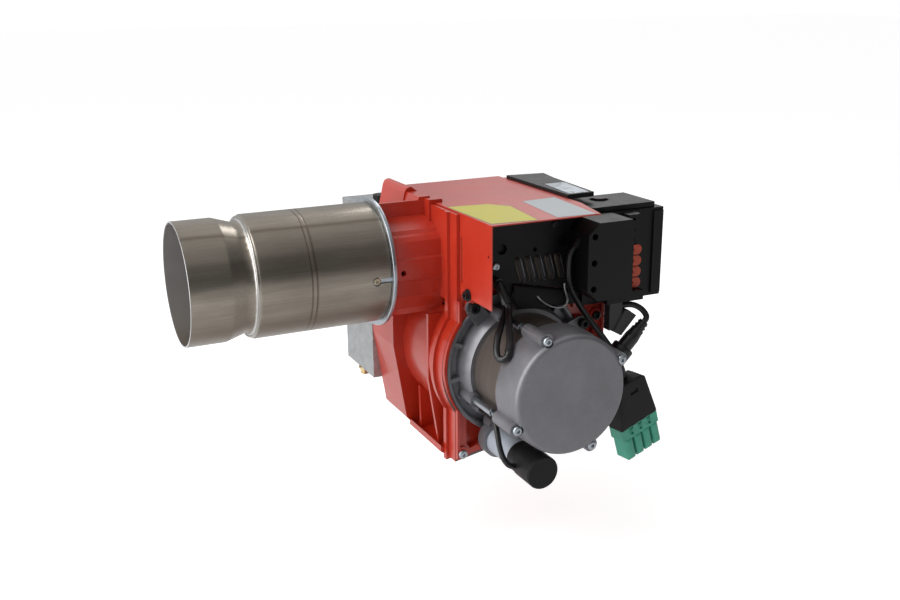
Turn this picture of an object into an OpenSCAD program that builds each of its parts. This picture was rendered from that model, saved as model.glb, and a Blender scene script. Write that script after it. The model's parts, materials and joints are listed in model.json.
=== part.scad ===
/* [Blast tube] */
// Outer diameter of the blast tube
tube_d = 115; // [104:1:120]
// Sheet thickness of the blast tube
tube_wall = 1.5; // [1:0.1:2]
// Length of the blast tube from the ring to its mouth
tube_len = 184; // [176:1:226]
// Length of the straight section behind the mouth
mouth_len = 36; // [25:1:40]
// How far the mouth section stays below the tube, on the radius
mouth_step = 0.7; // [0.6:0.1:1.2]
// Depth of the rolled neck below the tube, on the radius
neck_depth = 6; // [3:0.5:7]
// Length of the taper from the mouth section down to the neck
neck_taper = 17; // [12:1:20]
// Thickness of the zinc plated ring
ring_t = 4; // [3:0.5:6]
// How far the ring stands out beyond the tube, on the radius
ring_over = 4.9; // [3:0.1:8]
// Length of the ring's collar inside the tube
collar_len = 20; // [14:1:26]

/* [Combustion head] */
// Diameter of the brake plate
brake_d = 84; // [76:1:84]
// Distance of the brake plate from the ring
brake_back = 124; // [120:1:128]
// Number of slots in the brake plate
brake_slots = 16; // [8:1:20]
// Diameter of the nozzle line
line_d = 10; // [8:0.5:11]

/* [Fan housing] */
// Fan axis to tube axis, along the tube
fan_x = 112; // [108:1:116]
// Fan axis below the tube axis
fan_drop = 93.5; // [90:0.5:97]
// Room between the fan wheel and the volute drum
drum_gap = 4.5; // [4:0.5:6]
// Wall of the volute drum
drum_wall = 5; // [4:0.5:6]
// Near side plane of the parting seam, from the tube axis
seam_y = 80; // [78:1:84]
// Width of the housing flange
flange_w = 20; // [16:1:22]
// Thickness of the gasket in the seam
gasket_t = 0.6; // [0.4:0.1:1]
// Far side of the housing, from the tube axis
far_y = 70; // [68:1:74]
// Bore of the nose
nose_bore_d = 86; // [85:0.5:88]

/* [Motor] */
// Outer diameter of the motor's end shield
motor_d = 114; // [110:1:116]
// Distance from the seam to the end face of the motor
motor_len = 106; // [100:1:115]
// Outer diameter of the stator band
stator_d = 104; // [100:1:106]
// Outer diameter of the motor's flange ring
motor_ring_d = 146.6; // [144:0.2:147]
// Radius of the through bolt circle
bolt_circle_r = 58.5; // [57.5:0.5:60]
// Angle of the first through bolt above the horizontal
bolt_angle = 24.5; // [15:0.5:35]
// Diameter of the motor shaft
shaft_d = 12; // [10:1:14]
// Diameter of the run capacitor
capacitor_d = 29; // [26:1:31]

/* [Fan wheel] */
// Outer diameter of the fan wheel
wheel_d = 133; // [120:1:134]
// Width of the fan wheel
wheel_w = 58; // [40:1:62]
// Number of blades
blades = 36; // [24:1:42]

/* [Cover and electrics] */
// Width of the sheet cover along the tube
cover_w = 122; // [118:1:126]
// Height of the cover's top above the tube axis
cover_z = 57; // [56:0.5:60]
// Near edge of the cover, from the tube axis
cover_front = 142; // [136:1:150]
// Sheet thickness of the cover
cover_t = 1.2; // [1:0.1:1.6]
// Depth of the cover's near side panel below its top
cover_skirt = 76.5; // [70:0.5:78]
// Width of the control unit
unit_w = 92; // [86:1:100]
// Depth of the control unit
unit_d = 60; // [54:1:62]
// Height of the control unit
unit_h = 89.5; // [84:0.5:90]
// Travel of the reset button
reset_travel = 2.5; // [1:0.5:3]
// Height of the seven pole mains plug
plug_h = 75; // [70:1:78]
// Width of the seven pole mains plug
plug_w = 50; // [46:1:50]
// Depth of the seven pole mains plug
plug_t = 35; // [28:1:36]

/* [Air intake and pump] */
// Width of the intake box along the tube
box_w = 52; // [50:1:54]
// Depth of the intake box out from the housing
box_d = 79; // [74:1:90]
// Height of the intake box
box_h = 184; // [176:1:190]
// Sheet thickness of the intake box
box_t = 1.2; // [1:0.1:1.6]
// Width of the damper flap
flap_w = 42; // [36:1:43]
// Side length of the square pump body
pump_side = 62; // [54:1:64]
// Depth of the pump body
pump_d = 48; // [42:1:56]

/* [Fits] */
// Gap between pieces that only lie against each other
gap = 0.3; // [0.2:0.05:0.4]
// Radial clearance of a shaft in its running bore
run_fit = 0.06; // [0.02:0.01:0.1]
// Radial clearance between pieces that are pressed together
seat_fit = 0.05; // [0.03:0.01:0.1]

/* [Hidden] */
$fn = 72;

RED = "orangered";
BLACK = [0.12, 0.12, 0.13];
STEEL = "silver";
ALU = [0.62, 0.63, 0.66];

fan_z = -fan_drop;
tube_r = tube_d / 2;
tube_in = tube_r - tube_wall;
ring_r = tube_r + ring_over;
collar_r = tube_in - 0.15;
nose_r = nose_bore_d / 2;
nose_half = nose_r + 5;
top_z = cover_z - cover_t - gap;
brake_x = -brake_back - ring_t;
flange_r = motor_ring_d / 2 + 3.7;
drum_r = wheel_d / 2 + drum_gap + drum_wall;
pilot_r = motor_ring_d / 2 - 4.1;

plate_front = -seam_y - gasket_t - 4;
plate_back = -seam_y - gasket_t;
dish_near = plate_front + 9.6;
dish_t = 3;
motor_near = plate_front + 0.9;
motor_face = -seam_y - motor_len;
boss_near = motor_near - 14.3;
web_near = plate_back - 1.2;
cover_x = 54.3;
skirt_back = motor_face + 38;
stator_in = 8;
stator_r = stator_d / 2;
motor_r = motor_d / 2;
lug_under = motor_face + 4.6;

// Extrude an outline drawn in X and Z from y0 to y1
module slab_y(y0, y1) {
    translate([0, y1, 0]) rotate([90, 0, 0]) linear_extrude(y1 - y0) children();
}

// Extrude an outline drawn in Y and Z from x0 to x1
module slab_x(x0, x1) {
    translate([x0, 0, 0]) rotate([90, 0, 90]) linear_extrude(x1 - x0) children();
}

// Turn a profile of radius and length round the tube axis
module spin_x() {
    rotate([0, 90, 0]) rotate_extrude() children();
}

// Turn a profile of radius and length round the fan axis
module spin_fan() {
    translate([fan_x, 0, fan_z]) rotate([-90, 0, 0]) rotate_extrude() children();
}

// Round bar along X from x0 to x1
module bar_x(x0, x1, r, y = 0, z = 0) {
    translate([x0, y, z]) rotate([0, 90, 0]) cylinder(h = x1 - x0, r = r);
}

// Round bar along Y from y0 to y1
module bar_y(y0, y1, r, x = fan_x, z = fan_z) {
    translate([x, y0, z]) rotate([-90, 0, 0]) cylinder(h = y1 - y0, r = r);
}

// Block between two corners
module block(low, high) {
    translate(low) cube(high - low);
}

// Everything behind the ring is placed from the ring's rear face
module from_ring() {
    translate([ring_t, 0, 0]) children();
}

// Place children at the through bolts
module at_bolts() {
    for (k = [0:3]) {
        a = bolt_angle + 90 * k;
        translate([fan_x + bolt_circle_r * cos(a), 0, fan_z + bolt_circle_r * sin(a)])
            rotate([0, -a, 0]) children();
    }
}

// Functions that sweep a round section along a list of points
function unit(v) = v / norm(v);
function heading(p, i) = unit(p[min(i + 1, len(p) - 1)] - p[max(i - 1, 0)]);
function flatten_to(v, t) = unit(v - (v * t) * t);
function sides_of(p, i, v) = i >= len(p) ? [] :
    let (s = flatten_to(v, heading(p, i))) concat([s], sides_of(p, i + 1, s));
function any_side(t) = abs(t[2]) < 0.8 ? cross(t, [0, 0, 1]) : cross(t, [0, 1, 0]);

// Closed tube of radius r along the points p, with n sides
module cord(p, r, n = 8) {
    s = sides_of(p, 0, any_side(heading(p, 0)));
    rings = [for (i = [0:len(p) - 1]) let (t = heading(p, i), u = s[i], w = cross(t, u))
        for (k = [0:n - 1]) p[i] + r * (cos(360 * k / n) * u + sin(360 * k / n) * w)];
    walls = [for (i = [0:len(p) - 2], k = [0:n - 1]) let (a = i * n + k, b = i * n + (k + 1) % n)
        [a, a + n, b + n, b]];
    ends = [[for (k = [0:n - 1]) k], [for (k = [n - 1:-1:0]) (len(p) - 1) * n + k]];
    polyhedron(rings, concat(walls, ends));
}

// Routes of the leads and of the oil pipe, chosen by hand
mains_route = [[157, -112, 20], [154.8, -112, 17.6], [153, -112, 14.2], [152, -112, 10],
    [151.6, -112, 3], [151.7, -112, -5], [153, -112, -14], [157, -112, -24], [163, -113, -35],
    [170, -114, -45.5], [177, -116, -55.5], [184, -118, -65], [190, -120.5, -74],
    [195.5, -123, -82.5], [200, -125, -91], [203.4, -126.4, -98], [206.3, -127, -104.4],
    [209, -127, -114]];
loop_route = [[85, -115.1, -24.1], [85.4, -116.2, -26.2], [85, -118.2, -28.8], [83.6, -120.8, -31],
    [81.6, -124, -33.2], [79.6, -128, -36.2], [77.3, -133.1, -39.9], [74.5, -139.1, -44],
    [71.3, -145.2, -48], [69.2, -149.3, -50.6], [65.6, -153, -54.2], [64.2, -155.6, -55.9],
    [62.5, -156.2, -58.8], [59.9, -155.1, -60.7], [57.9, -152.4, -61.2], [57.2, -149.2, -60.2],
    [57.9, -145, -56.2], [60.9, -140, -51.2], [65.1, -134.5, -46.1], [70.7, -128.2, -41.8],
    [76.8, -121.4, -38.2], [82.6, -114.5, -35], [87.5, -108, -31.8], [90.2, -103, -28.6],
    [91.9, -98.8, -25.4], [92, -95.3, -25.2]];
motor_route = [[216.3, -105.5, -46.2], [220.3, -105.5, -46.2], [225.2, -106, -46.2], [229.8, -107, -46.9],
    [234, -108.6, -48.7], [237.6, -110.6, -51.4], [240.2, -112.6, -54.9], [241.4, -114.1, -58.4],
    [240.5, -114.7, -61], [239.1, -114.3, -62.9]];
capacitor_route = [[66.5, -100.3, -130], [66.3, -106, -130], [65.6, -114, -129.6],
    [64.4, -122, -129], [62.9, -129.5, -128.9], [61.9, -135.5, -130.4], [61.3, -140.3, -134.2],
    [61, -143.4, -139.6], [61, -146, -146.4], [61.4, -149.2, -153], [62.6, -152.6, -158.6],
    [65.2, -155, -162.8], [68.4, -156, -164.8], [71, -156, -165]];
oil_route = [[151, 95, -80], [158, 95, -80], [164, 95, -77], [167, 95, -70], [168, 95, -58],
    [168, 95, -44], [168, 95, -30], [168, 95, -16], [168, 94, -5], [168, 89, 3], [168, 81, 6],
    [168, 70, 6], [168, 56, 6], [168, 40, 6], [166, 26, 5], [160, 14, 3], [151, 5, 1],
    [141, 1, 0], [132, 0, 0]];
lead_wire_y = [-10, 10];

// Combustion head

// Two fine grooves rolled into the tube, from the ring
groove_at = [-75.6, -71];
module blast_tube() {
    shoulder = tube_len - mouth_len - neck_taper;
    outer = [[tube_r - mouth_step, -tube_len], [tube_r - mouth_step, -tube_len + mouth_len],
        [tube_r - mouth_step - 0.9, -tube_len + mouth_len + 3], [tube_r - neck_depth + 1, -shoulder - 3],
        [tube_r - neck_depth, -shoulder], [tube_r - neck_depth, -shoulder + 4],
        [tube_r - neck_depth + 2, -shoulder + 6], [tube_r - 1.6, -shoulder + 7.5],
        [tube_r, -shoulder + 10],
        for (g = groove_at) each [[tube_r, g - 0.8], [tube_r - 0.4, g - 0.3],
            [tube_r - 0.4, g + 0.3], [tube_r, g + 0.8]],
        [tube_r, -gap]];
    inner = [for (i = [len(outer) - 1:-1:0]) outer[i] - [tube_wall, 0]];
    color(STEEL) difference() {
        spin_x() polygon(concat(outer, inner));
        for (a = [0:120:240]) rotate([a + 4.5, 0, 0]) {
            translate([-14, -tube_r, 0]) rotate([90, 0, 0])
                cylinder(h = 12, r = 4.4, center = true);
            block([-14, -tube_r - 4, -2.3], [1, -tube_r + 4, 2.3]);
        }
    }
}

module tube_screws() {
    color("goldenrod") for (a = [0:120:240]) rotate([a + 4.5, 0, 0])
        translate([-14, 0, 0]) rotate([90, 0, 0]) difference() {
            union() {
                translate([0, 0, tube_in + 0.1]) cylinder(h = 1.3, r = 3.6);
                translate([0, 0, collar_r - 5]) cylinder(h = 6, r = 1.95);
            }
            translate([0, 0, tube_in + 0.5]) cylinder(h = 2, r = 1.4, $fn = 6);
        }
}

module flange_ring() {
    color([0.72, 0.76, 0.8]) difference() {
        spin_x() polygon([[nose_r, 0], [collar_r - 2, 0], [collar_r - 2, -collar_len],
            [collar_r, -collar_len], [collar_r, 0], [ring_r - 0.6, 0], [ring_r, 0.6],
            [ring_r, ring_t - 0.6], [ring_r - 0.6, ring_t], [nose_r, ring_t]]);
        for (a = [0:120:240]) rotate([a + 4.5, 0, 0]) translate([-14, -collar_r, 0])
            rotate([90, 0, 0]) cylinder(h = 12, r = 2, center = true);
    }
}

line_rear = 132;
holder_back = brake_x + 30;
module nozzle_line() {
    color("goldenrod") from_ring() difference() {
        bar_x(holder_back, line_rear - gap, line_d / 2);
        bar_x(holder_back - 1, line_rear, line_d / 2 - 1.5);
    }
}

module nozzle_holder() {
    color("darkgoldenrod") from_ring() translate([holder_back - gap - 20, 0, 0]) rotate([0, 90, 0]) difference() {
        union() {
            cylinder(h = 20, r = 11, $fn = 6);
            translate([0, 0, 14]) cylinder(h = 6, r = 12);
        }
        translate([0, 0, 2]) cylinder(h = 19, r = 2);
    }
}

module oil_nozzle() {
    color("gold") from_ring() spin_x() {
        back = holder_back - 2 * gap - 20;
        polygon([[0, back], [9, back], [9, back - 8], [6.5, back - 9], [6.5, back - 13],
            [3.5, back - 16], [0, back - 16]]);
    }
}

electrode_z = 18;
transformer_x = 124;
bracket_x = holder_back + 1;
module brake_plate() {
    r = brake_d / 2;
    color("dimgray") from_ring() union() {
        difference() {
            bar_x(brake_x, brake_x + 1.6, r);
            bar_x(brake_x - 1, brake_x + 3, 24);
            for (k = [0:brake_slots - 1]) rotate([360 * k / brake_slots, 0, 0])
                translate([brake_x, 0, 0]) rotate([22, 0, 0])
                    block([-1, 27, -1.1], [3, r - 3.5, 1.1]);
        }
        slab_x(bracket_x, bracket_x + 3) difference() {
            union() {
                circle(r = 15);
                for (y = lead_wire_y) translate([y, electrode_z]) circle(r = 9.5);
                for (a = [90, 210, 330]) rotate(a) translate([0, -2.5]) square([30, 5]);
            }
            circle(r = line_d / 2 + 0.1);
            for (y = lead_wire_y) translate([y, electrode_z]) circle(r = 5.6);
        }
        for (a = [90, 210, 330]) rotate([a, 0, 0])
            bar_x(brake_x + 1.4, bracket_x + 1, 2, y = 27.6);
    }
}

module electrode_insulators() {
    color("white") from_ring() for (y = lead_wire_y) difference() {
        union() {
            bar_x(brake_x + 6, bracket_x + 40, 5.5, y = y, z = electrode_z);
            bar_x(bracket_x + 40, transformer_x - gap, 4, y = y, z = electrode_z);
            bar_x(bracket_x + 3 + gap, bracket_x + 9, 7, y = y, z = electrode_z);
        }
        bar_x(brake_x + 5, transformer_x, 1.4, y = y, z = electrode_z);
    }
}

module electrode_rods() {
    color("lightgray") from_ring() for (y = lead_wire_y)
        cord([[transformer_x - gap, y, electrode_z], [bracket_x, y, electrode_z],
            [brake_x + 2, y, electrode_z], [brake_x - 5, y, electrode_z],
            [brake_x - 9, y * 0.75, 14], [brake_x - 14, y * 0.3, 8]], 1.3);
}

module ignition_transformer() {
    color("dimgray") from_ring() difference() {
        block([transformer_x, -50, 14], [172, 24, 52]);
        for (z = [52]) block([transformer_x + 6, -44, z - 3], [166, 18, z + 1]);
    }
}

module flame_sensor() {
    color("darkred") from_ring() union() {
        bar_x(104, 116, 6.4, y = -28, z = sensor_z);
        bar_x(wall_x + 8 + gap, wall_x + 12, 9, y = -28, z = sensor_z);
        bar_x(110, wall_x + 9, 6.4, y = -28, z = sensor_z);
    }
}

// Fan housing, the casting that carries everything

wall_x = fan_x;
left_x = 51;
foot_z = -188.5;
shelf_z = -45 - gap;
right_low = 212;
right_top = 178;

// Outline of the flange in X and Z, grown by g
module flange_outline(g = 0) {
    translate([fan_x, fan_z]) circle(r = flange_r + g);
    polygon([[left_x - g, top_z + g], [left_x - g, -50], [48.5 - g, -137],
        [48.5 - g, foot_z - g], [75, foot_z + 4.8 - g],
        [fan_x, foot_z + 10.5 - g], [150, foot_z + 19 - g], [180, foot_z + 36 - g],
        [right_low + g, -112], [right_low + g, shelf_z + g], [right_top + g, shelf_z + g],
        [right_top + g, top_z + g]]);
}

// Section of the nose in Y and Z
module nose_section() {
    h = nose_half;
    polygon([[-16, top_z + 3], [-16, 44.5], [-37, 35.5], [-40, 32], [-45, 31], [-h, 27],
        [-h, 12], [-h - 1.6, 10], [-h - 1.6, -9], [-h, -11], [-46, -26], [-38, -40],
        [-26, -49.5], [-9, -h - 6], [9, -h - 6], [26, -49.5], [38, -40], [46, -26], [h, -11],
        [h, 27], [45, 31], [37, 38], [14, nose_r + 4.5], [-12.5, nose_r + 4.5],
        [-12.5, top_z + 3]]);
}

// Outline of the far block in X and Z: its left edge is the slanted wall beside the tube
module far_outline() {
    polygon([[46, top_z + 10.5], [42.5, top_z + 9], [40.5, top_z + 5.5], [36, 41], [25, -20],
        [25, -95], [36.5, -165], [38, -175], [42, -180], [48, -184.5], [75, foot_z + 5.5],
        [fan_x, foot_z + 11], [150, foot_z + 19.5], [186, -150], [206, -112], [206, top_z],
        [54, top_z], [54, top_z + 6], [51.5, top_z + 7.5], [48.5, top_z + 10]]);
}

// Threaded places for screws that run along Y into the housing flange
plate_screw_at = [[62, 46], [54, -179.5], [166, 42], [202, -60], [170, -153]];

// Places of all screws through the seam, as discs of radius r within the flange's outline
module seam_discs(r) {
    intersection() {
        flange_outline();
        union() {
            for (p = plate_screw_at) translate(p) circle(r = r);
            for (k = [0:2]) translate(motor_bolt_at(k)) circle(r = r);
        }
    }
}

module fan_housing() {
    r_in = drum_r - drum_wall;
    color(RED) from_ring() difference() {
        union() {
            slab_x(0, 60) nose_section();
            bar_x(0, 3, tube_r - 1.5);
            slab_y(-seam_y, -seam_y + flange_w) flange_outline();
            slab_y(-seam_y + flange_w - 6, -seam_y + flange_w) difference() {
                flange_outline(3);
                translate([left_x - 4, top_z]) square([right_low, 10]);
                translate([right_top, shelf_z]) square([60, 120]);
            }
            bar_y(-seam_y + flange_w, 15, drum_r);
            block([50, -seam_y + flange_w - 1, -30], [right_top, 15, top_z]);
            slab_y(14, far_y) far_outline();
            slab_y(-16, 15) polygon([[42.5, top_z + 6], [36, 41], [54, 41], [54, top_z + 6]]);
            block([48, -27, 40], [62, -9, top_z + 4.5]);
            slab_y(-48, -44) polygon([[36, -46], [35.5, -112], [47.5, foot_z], [75, foot_z + 4.8],
                [fan_x, foot_z + 10.5], [fan_x, -46]]);
            slab_y(-3, 1) polygon([[46, -136], [47.5, foot_z], [100, foot_z + 8], [100, -150]]);
            slab_y(-seam_y + flange_w - 1, 15) polygon([[42, -178], [42, -184.5],
                [48.5, foot_z], [75, foot_z + 4.8], [fan_x, foot_z + 10.5],
                [150, foot_z + 19], [150, foot_z + 25], [fan_x, foot_z + 16.5], [75, foot_z + 11],
                [47, foot_z + 6]]);
            block([62, -45, -182], [66, 15, -150]);
        }
        bar_x(-1, 62, nose_r);
        slab_y(-seam_y - 1, dish_near + dish_t + 6) difference() {
            flange_outline(-7.5);
            seam_discs(7.5);
        }
        bar_y(-seam_y, 10, r_in);
        block([56.5, -seam_y + 12, -60], [wall_x, 8, 46]);
        block([56.5, 7, -nose_r], [wall_x, nose_r, 46]);
        bar_y(9, 22, wheel_d / 2 - 22);
        slab_y(21, far_y - 8) polygon([[31, -51], [31, -95], [44, -160], [fan_x, -160],
            [150, -152], [180, -112], [180, -51]]);
        block([40, far_y - 9, -140], [70, far_y + 1, -53]);
        block([wall_x + 8, -56, -14], [right_top - 4, far_y - 8, top_z + 7]);
        bar_x(wall_x - 1, wall_x + 9, line_d / 2 + 0.15);
        for (y = lead_wire_y) bar_x(wall_x - 1, wall_x + 9, 4.3, y = y, z = electrode_z);
        bar_x(wall_x - 1, wall_x + 9, 6.6, y = -28, z = sensor_z);
        bar_y(far_y - 9, far_y + 1, pump_hub_r + 0.15);
        for (k = [0:2]) pump_bolt(k) bar_y(far_y - 9, far_y + 1, 2.8, x = 0, z = 0);
        bar_y(far_y - 9, far_y + 1, 4, x = 168, z = 6);
        for (p = plate_screw_at) bar_y(-seam_y - 1, -seam_y + 14, 2.6, x = p[0], z = p[1]);
        translate([11, -nose_half - 3, -2.2]) rotate([-90, 0, 0]) cylinder(h = 9, r = 2.6);
        for (k = [0:2]) motor_bolt(k) bar_y(-seam_y - 1, -seam_y + 17, 3.1, x = 0, z = 0);
    }
}

pump_hub_r = 27;
sensor_z = -2;
module pump_bolt(k) {
    a = 30 + 120 * k;
    translate([fan_x + 30.6 * cos(a), 0, fan_z + 30.6 * sin(a)]) children();
}

// Corner of the seam that the cover's left side reaches over
module cover_notch() {
    translate([left_x - 6, cover_z - cover_skirt - 7]) square([screw_block_x - left_x + 6, 100]);
}

module housing_gasket() {
    color("gray") from_ring() slab_y(-seam_y - gasket_t, -seam_y) difference() {
        flange_outline(-0.4);
        flange_outline(-7);
        cover_notch();
        for (p = plate_screw_at) translate(p) circle(r = 2.8);
        for (k = [0:2]) translate(motor_bolt_at(k)) circle(r = 3.4);
    }
}

// Bolts that clamp the motor flange, through its tabs, to the plate and the housing
motor_bolt_r = motor_ring_d / 2 + 4.7;
motor_bolt_angle = [128, 22, 300];
function motor_bolt_at(k) = [fan_x + motor_bolt_r * cos(motor_bolt_angle[k]),
    fan_z + motor_bolt_r * sin(motor_bolt_angle[k])];
module motor_bolt(k) {
    p = motor_bolt_at(k);
    translate([p[0], 0, p[1]]) children();
}

screw_block_x = cover_x + cover_t + gap;
screw_y = -97;
screw_z = -16.5;
module motor_plate() {
    color(RED) from_ring() difference() {
        union() {
            slab_y(plate_front, plate_back) difference() {
                intersection() {
                    flange_outline(-0.3);
                    translate([0, 3.2]) flange_outline(-0.3);
                }
                cover_notch();
            }
            slab_y(plate_front, dish_near + dish_t) difference() {
                flange_outline(-8);
                seam_discs(6);
            }
            block([screw_block_x, plate_front - 18, screw_z - 6.5], [63, plate_front + 1, screw_z + 7]);
        }
        difference() {
            union() {
                slab_y(plate_front - 1, web_near) difference() {
                    flange_outline(-3.2);
                    seam_discs(7);
                }
                slab_y(plate_front - 1, dish_near) difference() {
                    flange_outline(-11);
                    seam_discs(9.8);
                }
            }
            block([screw_block_x, plate_front - 19, screw_z - 6.5], [63, dish_near, screw_z + 7]);
            block([63, plate_front - 1, -19], [right_top, dish_near + 1, top_z - 4]);
        }
        slab_y(plate_back, dish_near + dish_t + 1) seam_discs(8.1);
        bar_y(plate_front - 1, web_near, motor_ring_d / 2 + 0.5);
        bar_y(plate_front - 1, dish_near + 5, pilot_r + 0.2);
        for (p = plate_screw_at) bar_y(plate_front - 1, plate_back + 1, 2.8, x = p[0], z = p[1]);
        for (k = [0:2]) motor_bolt(k) bar_y(plate_front - 1, plate_back + 1, 3.4, x = 0, z = 0);
        bar_x(50, 62, 2.1, y = screw_y, z = screw_z);
    }
}

module plate_screws() {
    color(STEEL) from_ring() for (p = plate_screw_at) translate([p[0], 0, p[1]]) difference() {
        union() {
            bar_y(plate_front - 3.2, plate_front, 4.5, x = 0, z = 0);
            bar_y(plate_front - 1, -seam_y + 12, 2.5, x = 0, z = 0);
        }
        bar_y(plate_front - 4, plate_front - 1.4, 2, x = 0, z = 0, $fn = 6);
    }
}

ear_near = plate_front - 3;
module motor_bolts() {
    color(BLACK) from_ring() for (k = [0:2]) motor_bolt(k) difference() {
        union() {
            bar_y(ear_near - 6, ear_near, 5, x = 0, z = 0);
            bar_y(ear_near - 1, -seam_y + 15, 3, x = 0, z = 0);
        }
        bar_y(ear_near - 7, ear_near - 2.6, 2.9, x = 0, z = 0, $fn = 6);
    }
}

// Cover, trim and electrics

cover_right = cover_x + cover_w;
cover_back = far_y + 3;
module cover() {
    side_near = -seam_y - gap;
    color(RED) from_ring() union() {
        difference() {
            translate([0, 0, cover_z - cover_t]) linear_extrude(cover_t)
                polygon([[cover_x, -cover_front], [cover_right - 11, -cover_front],
                    [cover_right, -92], [cover_right, cover_back], [cover_x, cover_back]]);
            block([cover_x - 1, -27.6, top_z - 2], [62.5, -8.4, cover_z + 1]);
        }
        slab_x(cover_x, cover_x + cover_t) difference() {
            union() {
                translate([-cover_front, cover_z - cover_skirt])
                    square([cover_front + side_near, cover_skirt]);
                translate([screw_y, screw_z]) circle(r = 7);
            }
            translate([side_near - 4.2, -8]) square([2, 43]);
            translate([screw_y, screw_z]) circle(r = 2.4);
            translate([-136, 28]) circle(r = 1.6);
        }
        block([cover_right - cover_t, -92, 24], [cover_right, plate_front - 0.4, cover_z]);
    }
}

module cover_screws() {
    color(STEEL) from_ring() difference() {
        union() {
            bar_x(cover_x - 1.2, cover_x, 6, y = screw_y, z = screw_z);
            bar_x(cover_x - 4.2, cover_x - 1, 4, y = screw_y, z = screw_z);
            bar_x(cover_x - 2, 61, 2, y = screw_y, z = screw_z);
        }
        bar_x(cover_x - 5, cover_x - 2.4, 2, y = screw_y, z = screw_z, $fn = 6);
    }
}

// Black shroud over the rear of the electrics, behind the cover
module trim_outline(g = 0) {
    polygon([[cover_right + gap + g, -67 + g], [207.5 - g, -66 + g], [214 - g, 20],
        [219 - g, 50 - g], [cover_right + gap + g, 56 - g]]);
}

trim_top = top_z + gap + 4.7;
module rear_trim() {
    color(BLACK) from_ring() difference() {
        translate([0, 0, top_z + gap]) linear_extrude(trim_top - top_z - gap) trim_outline();
        translate([0, 0, trim_top - 0.4]) linear_extrude(1) badge_outline(0.4);
    }
}

// Blank metal plate let into the shroud's top
module badge_outline(g = 0) {
    polygon([[180.5 - g, -63 - g], [203 + g, -63 - g], [209 + g, -8 + g], [185.5 - g, -8 + g]]);
}

module badge_plate() {
    color(STEEL) from_ring() translate([0, 0, trim_top - 0.4]) linear_extrude(0.6) badge_outline();
}

panel_back = plate_front - 0.4;
panel_near = -95;
panel_screw_at = [[83.5, 6.5], [146, 40]];
panel_right = 174.6;
module electrics_panel() {
    color(BLACK) from_ring() union() {
        difference() {
            union() {
                slab_y(panel_near, panel_near + 1.6) polygon([[76, 50], [76, -12], [82, -12],
                    [90, -27], [100, -27], [103, -12], [panel_right, -27], [panel_right, 50]]);
                slab_y(panel_near, panel_back) polygon([[76, 50], [76, 48], [panel_right, 48], [panel_right, 50]]);
                slab_y(panel_near, panel_back) polygon([[172, 50], [172, -25], [panel_right, -25],
                    [panel_right, 50]]);
                for (p = panel_screw_at) bar_y(panel_near, panel_back, 5, x = p[0], z = p[1]);
            }
            bar_y(panel_near - 1, panel_near + 3, 5, x = 90, z = 22);
            bar_y(panel_near - 1, panel_near + 3, 5, x = 155, z = 24);
            bar_y(panel_near - 1, panel_near + 3, 2, x = 125, z = 18);
            for (p = panel_screw_at) bar_y(panel_near - 1, panel_back + 1, 2.3, x = p[0], z = p[1]);
            for (k = [0:4]) translate([102.4 + 10.6 * k, 0, 0]) slab_y(panel_near - 1, panel_near + 3)
                polygon([[0, 10], [2.8, 11], [10, -11.4], [7.2, -12.4]]);
        }
        for (k = [0:4]) translate([102.4 + 10.6 * k, 0, 0])
            slab_y(panel_near - 2.2, panel_near + 0.6)
            polygon([[2.4, 11], [5.6, 12], [12.8, -10.6], [9.6, -11.8]]);
    }
}

module panel_screws() {
    color(STEEL) from_ring() for (p = panel_screw_at) difference() {
        union() {
            bar_y(panel_near - 2.4, panel_near, 3.8, x = p[0], z = p[1]);
            bar_y(panel_near - 1, panel_back, 2, x = p[0], z = p[1]);
        }
        bar_y(panel_near - 3, panel_near - 1, 1.6, x = p[0], z = p[1], $fn = 6);
    }
}

// Bent wire that holds the leads up under the panel
module wire_hook() {
    color(STEEL) from_ring() cord([[126, panel_back - 7.3, -12], [126, panel_back - 7.3, -20],
        [126.2, -94.5, -24.6], [126.8, -98.2, -27.2], [128.6, -100.6, -30.2], [132.2, -101, -33.2],
        [138, -101, -36.9], [144.7, -101, -39.5], [150, -101, -40.2], [154.2, -101, -39.6],
        [157.4, -101, -37.4], [158.4, -101, -33.5], [157.6, -99.8, -28.6], [157.2, -97.4, -24],
        [157.2, panel_near - 1.4, -18]], 1.1, 8);
}

unit_x = 180;
unit_near = -92;
unit_z = -45;
reset_x = 220;
reset_y = -56;
module control_unit() {
    top = unit_z + unit_h;
    color(BLACK) from_ring() difference() {
        union() {
            block([unit_x, unit_near, unit_z], [unit_x + unit_w, unit_near + unit_d, top]);
            block([unit_x + unit_w - 12, unit_near - 2, unit_z + 3], [unit_x + unit_w - 1, unit_near + 1, top - 3]);
        }
        block([unit_x + 3, unit_near + 3, unit_z - 1], [unit_x + unit_w - 3, unit_near + unit_d - 3, unit_z + 12]);
        translate([reset_x, reset_y, top - 16]) cylinder(h = 17, r = 4 + run_fit);
    }
}

module control_lid() {
    z0 = unit_z + unit_h;
    color(BLACK) from_ring() difference() {
        union() {
            block([190, -90, z0], [unit_x + unit_w - 9, -36, z0 + 5.5]);
            block([unit_x + 4, -84, z0], [191, -42, z0 + 4]);
        }
        translate([reset_x, reset_y, z0 - 1]) cylinder(h = 12, r = 9.25);
        block([196, -80, z0 - 1], [208, -46, z0 + 3.5]);
        block([234, -80, z0 - 1], [unit_x + unit_w - 14, -46, z0 + 3.5]);
    }
}

module reset_button() {
    z0 = unit_z + unit_h;
    color("firebrick") from_ring() union() {
        translate([reset_x, reset_y, z0 + reset_travel + 1]) cylinder(h = 4, r = 7.6);
        translate([reset_x, reset_y, z0 - 11]) cylinder(h = 13 + reset_travel, r = 4);
    }
}

plug_near = -130;
plug_x = 161;
plug_z = -30;
base_near = panel_near - gap;
key_x = 234.5;
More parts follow.
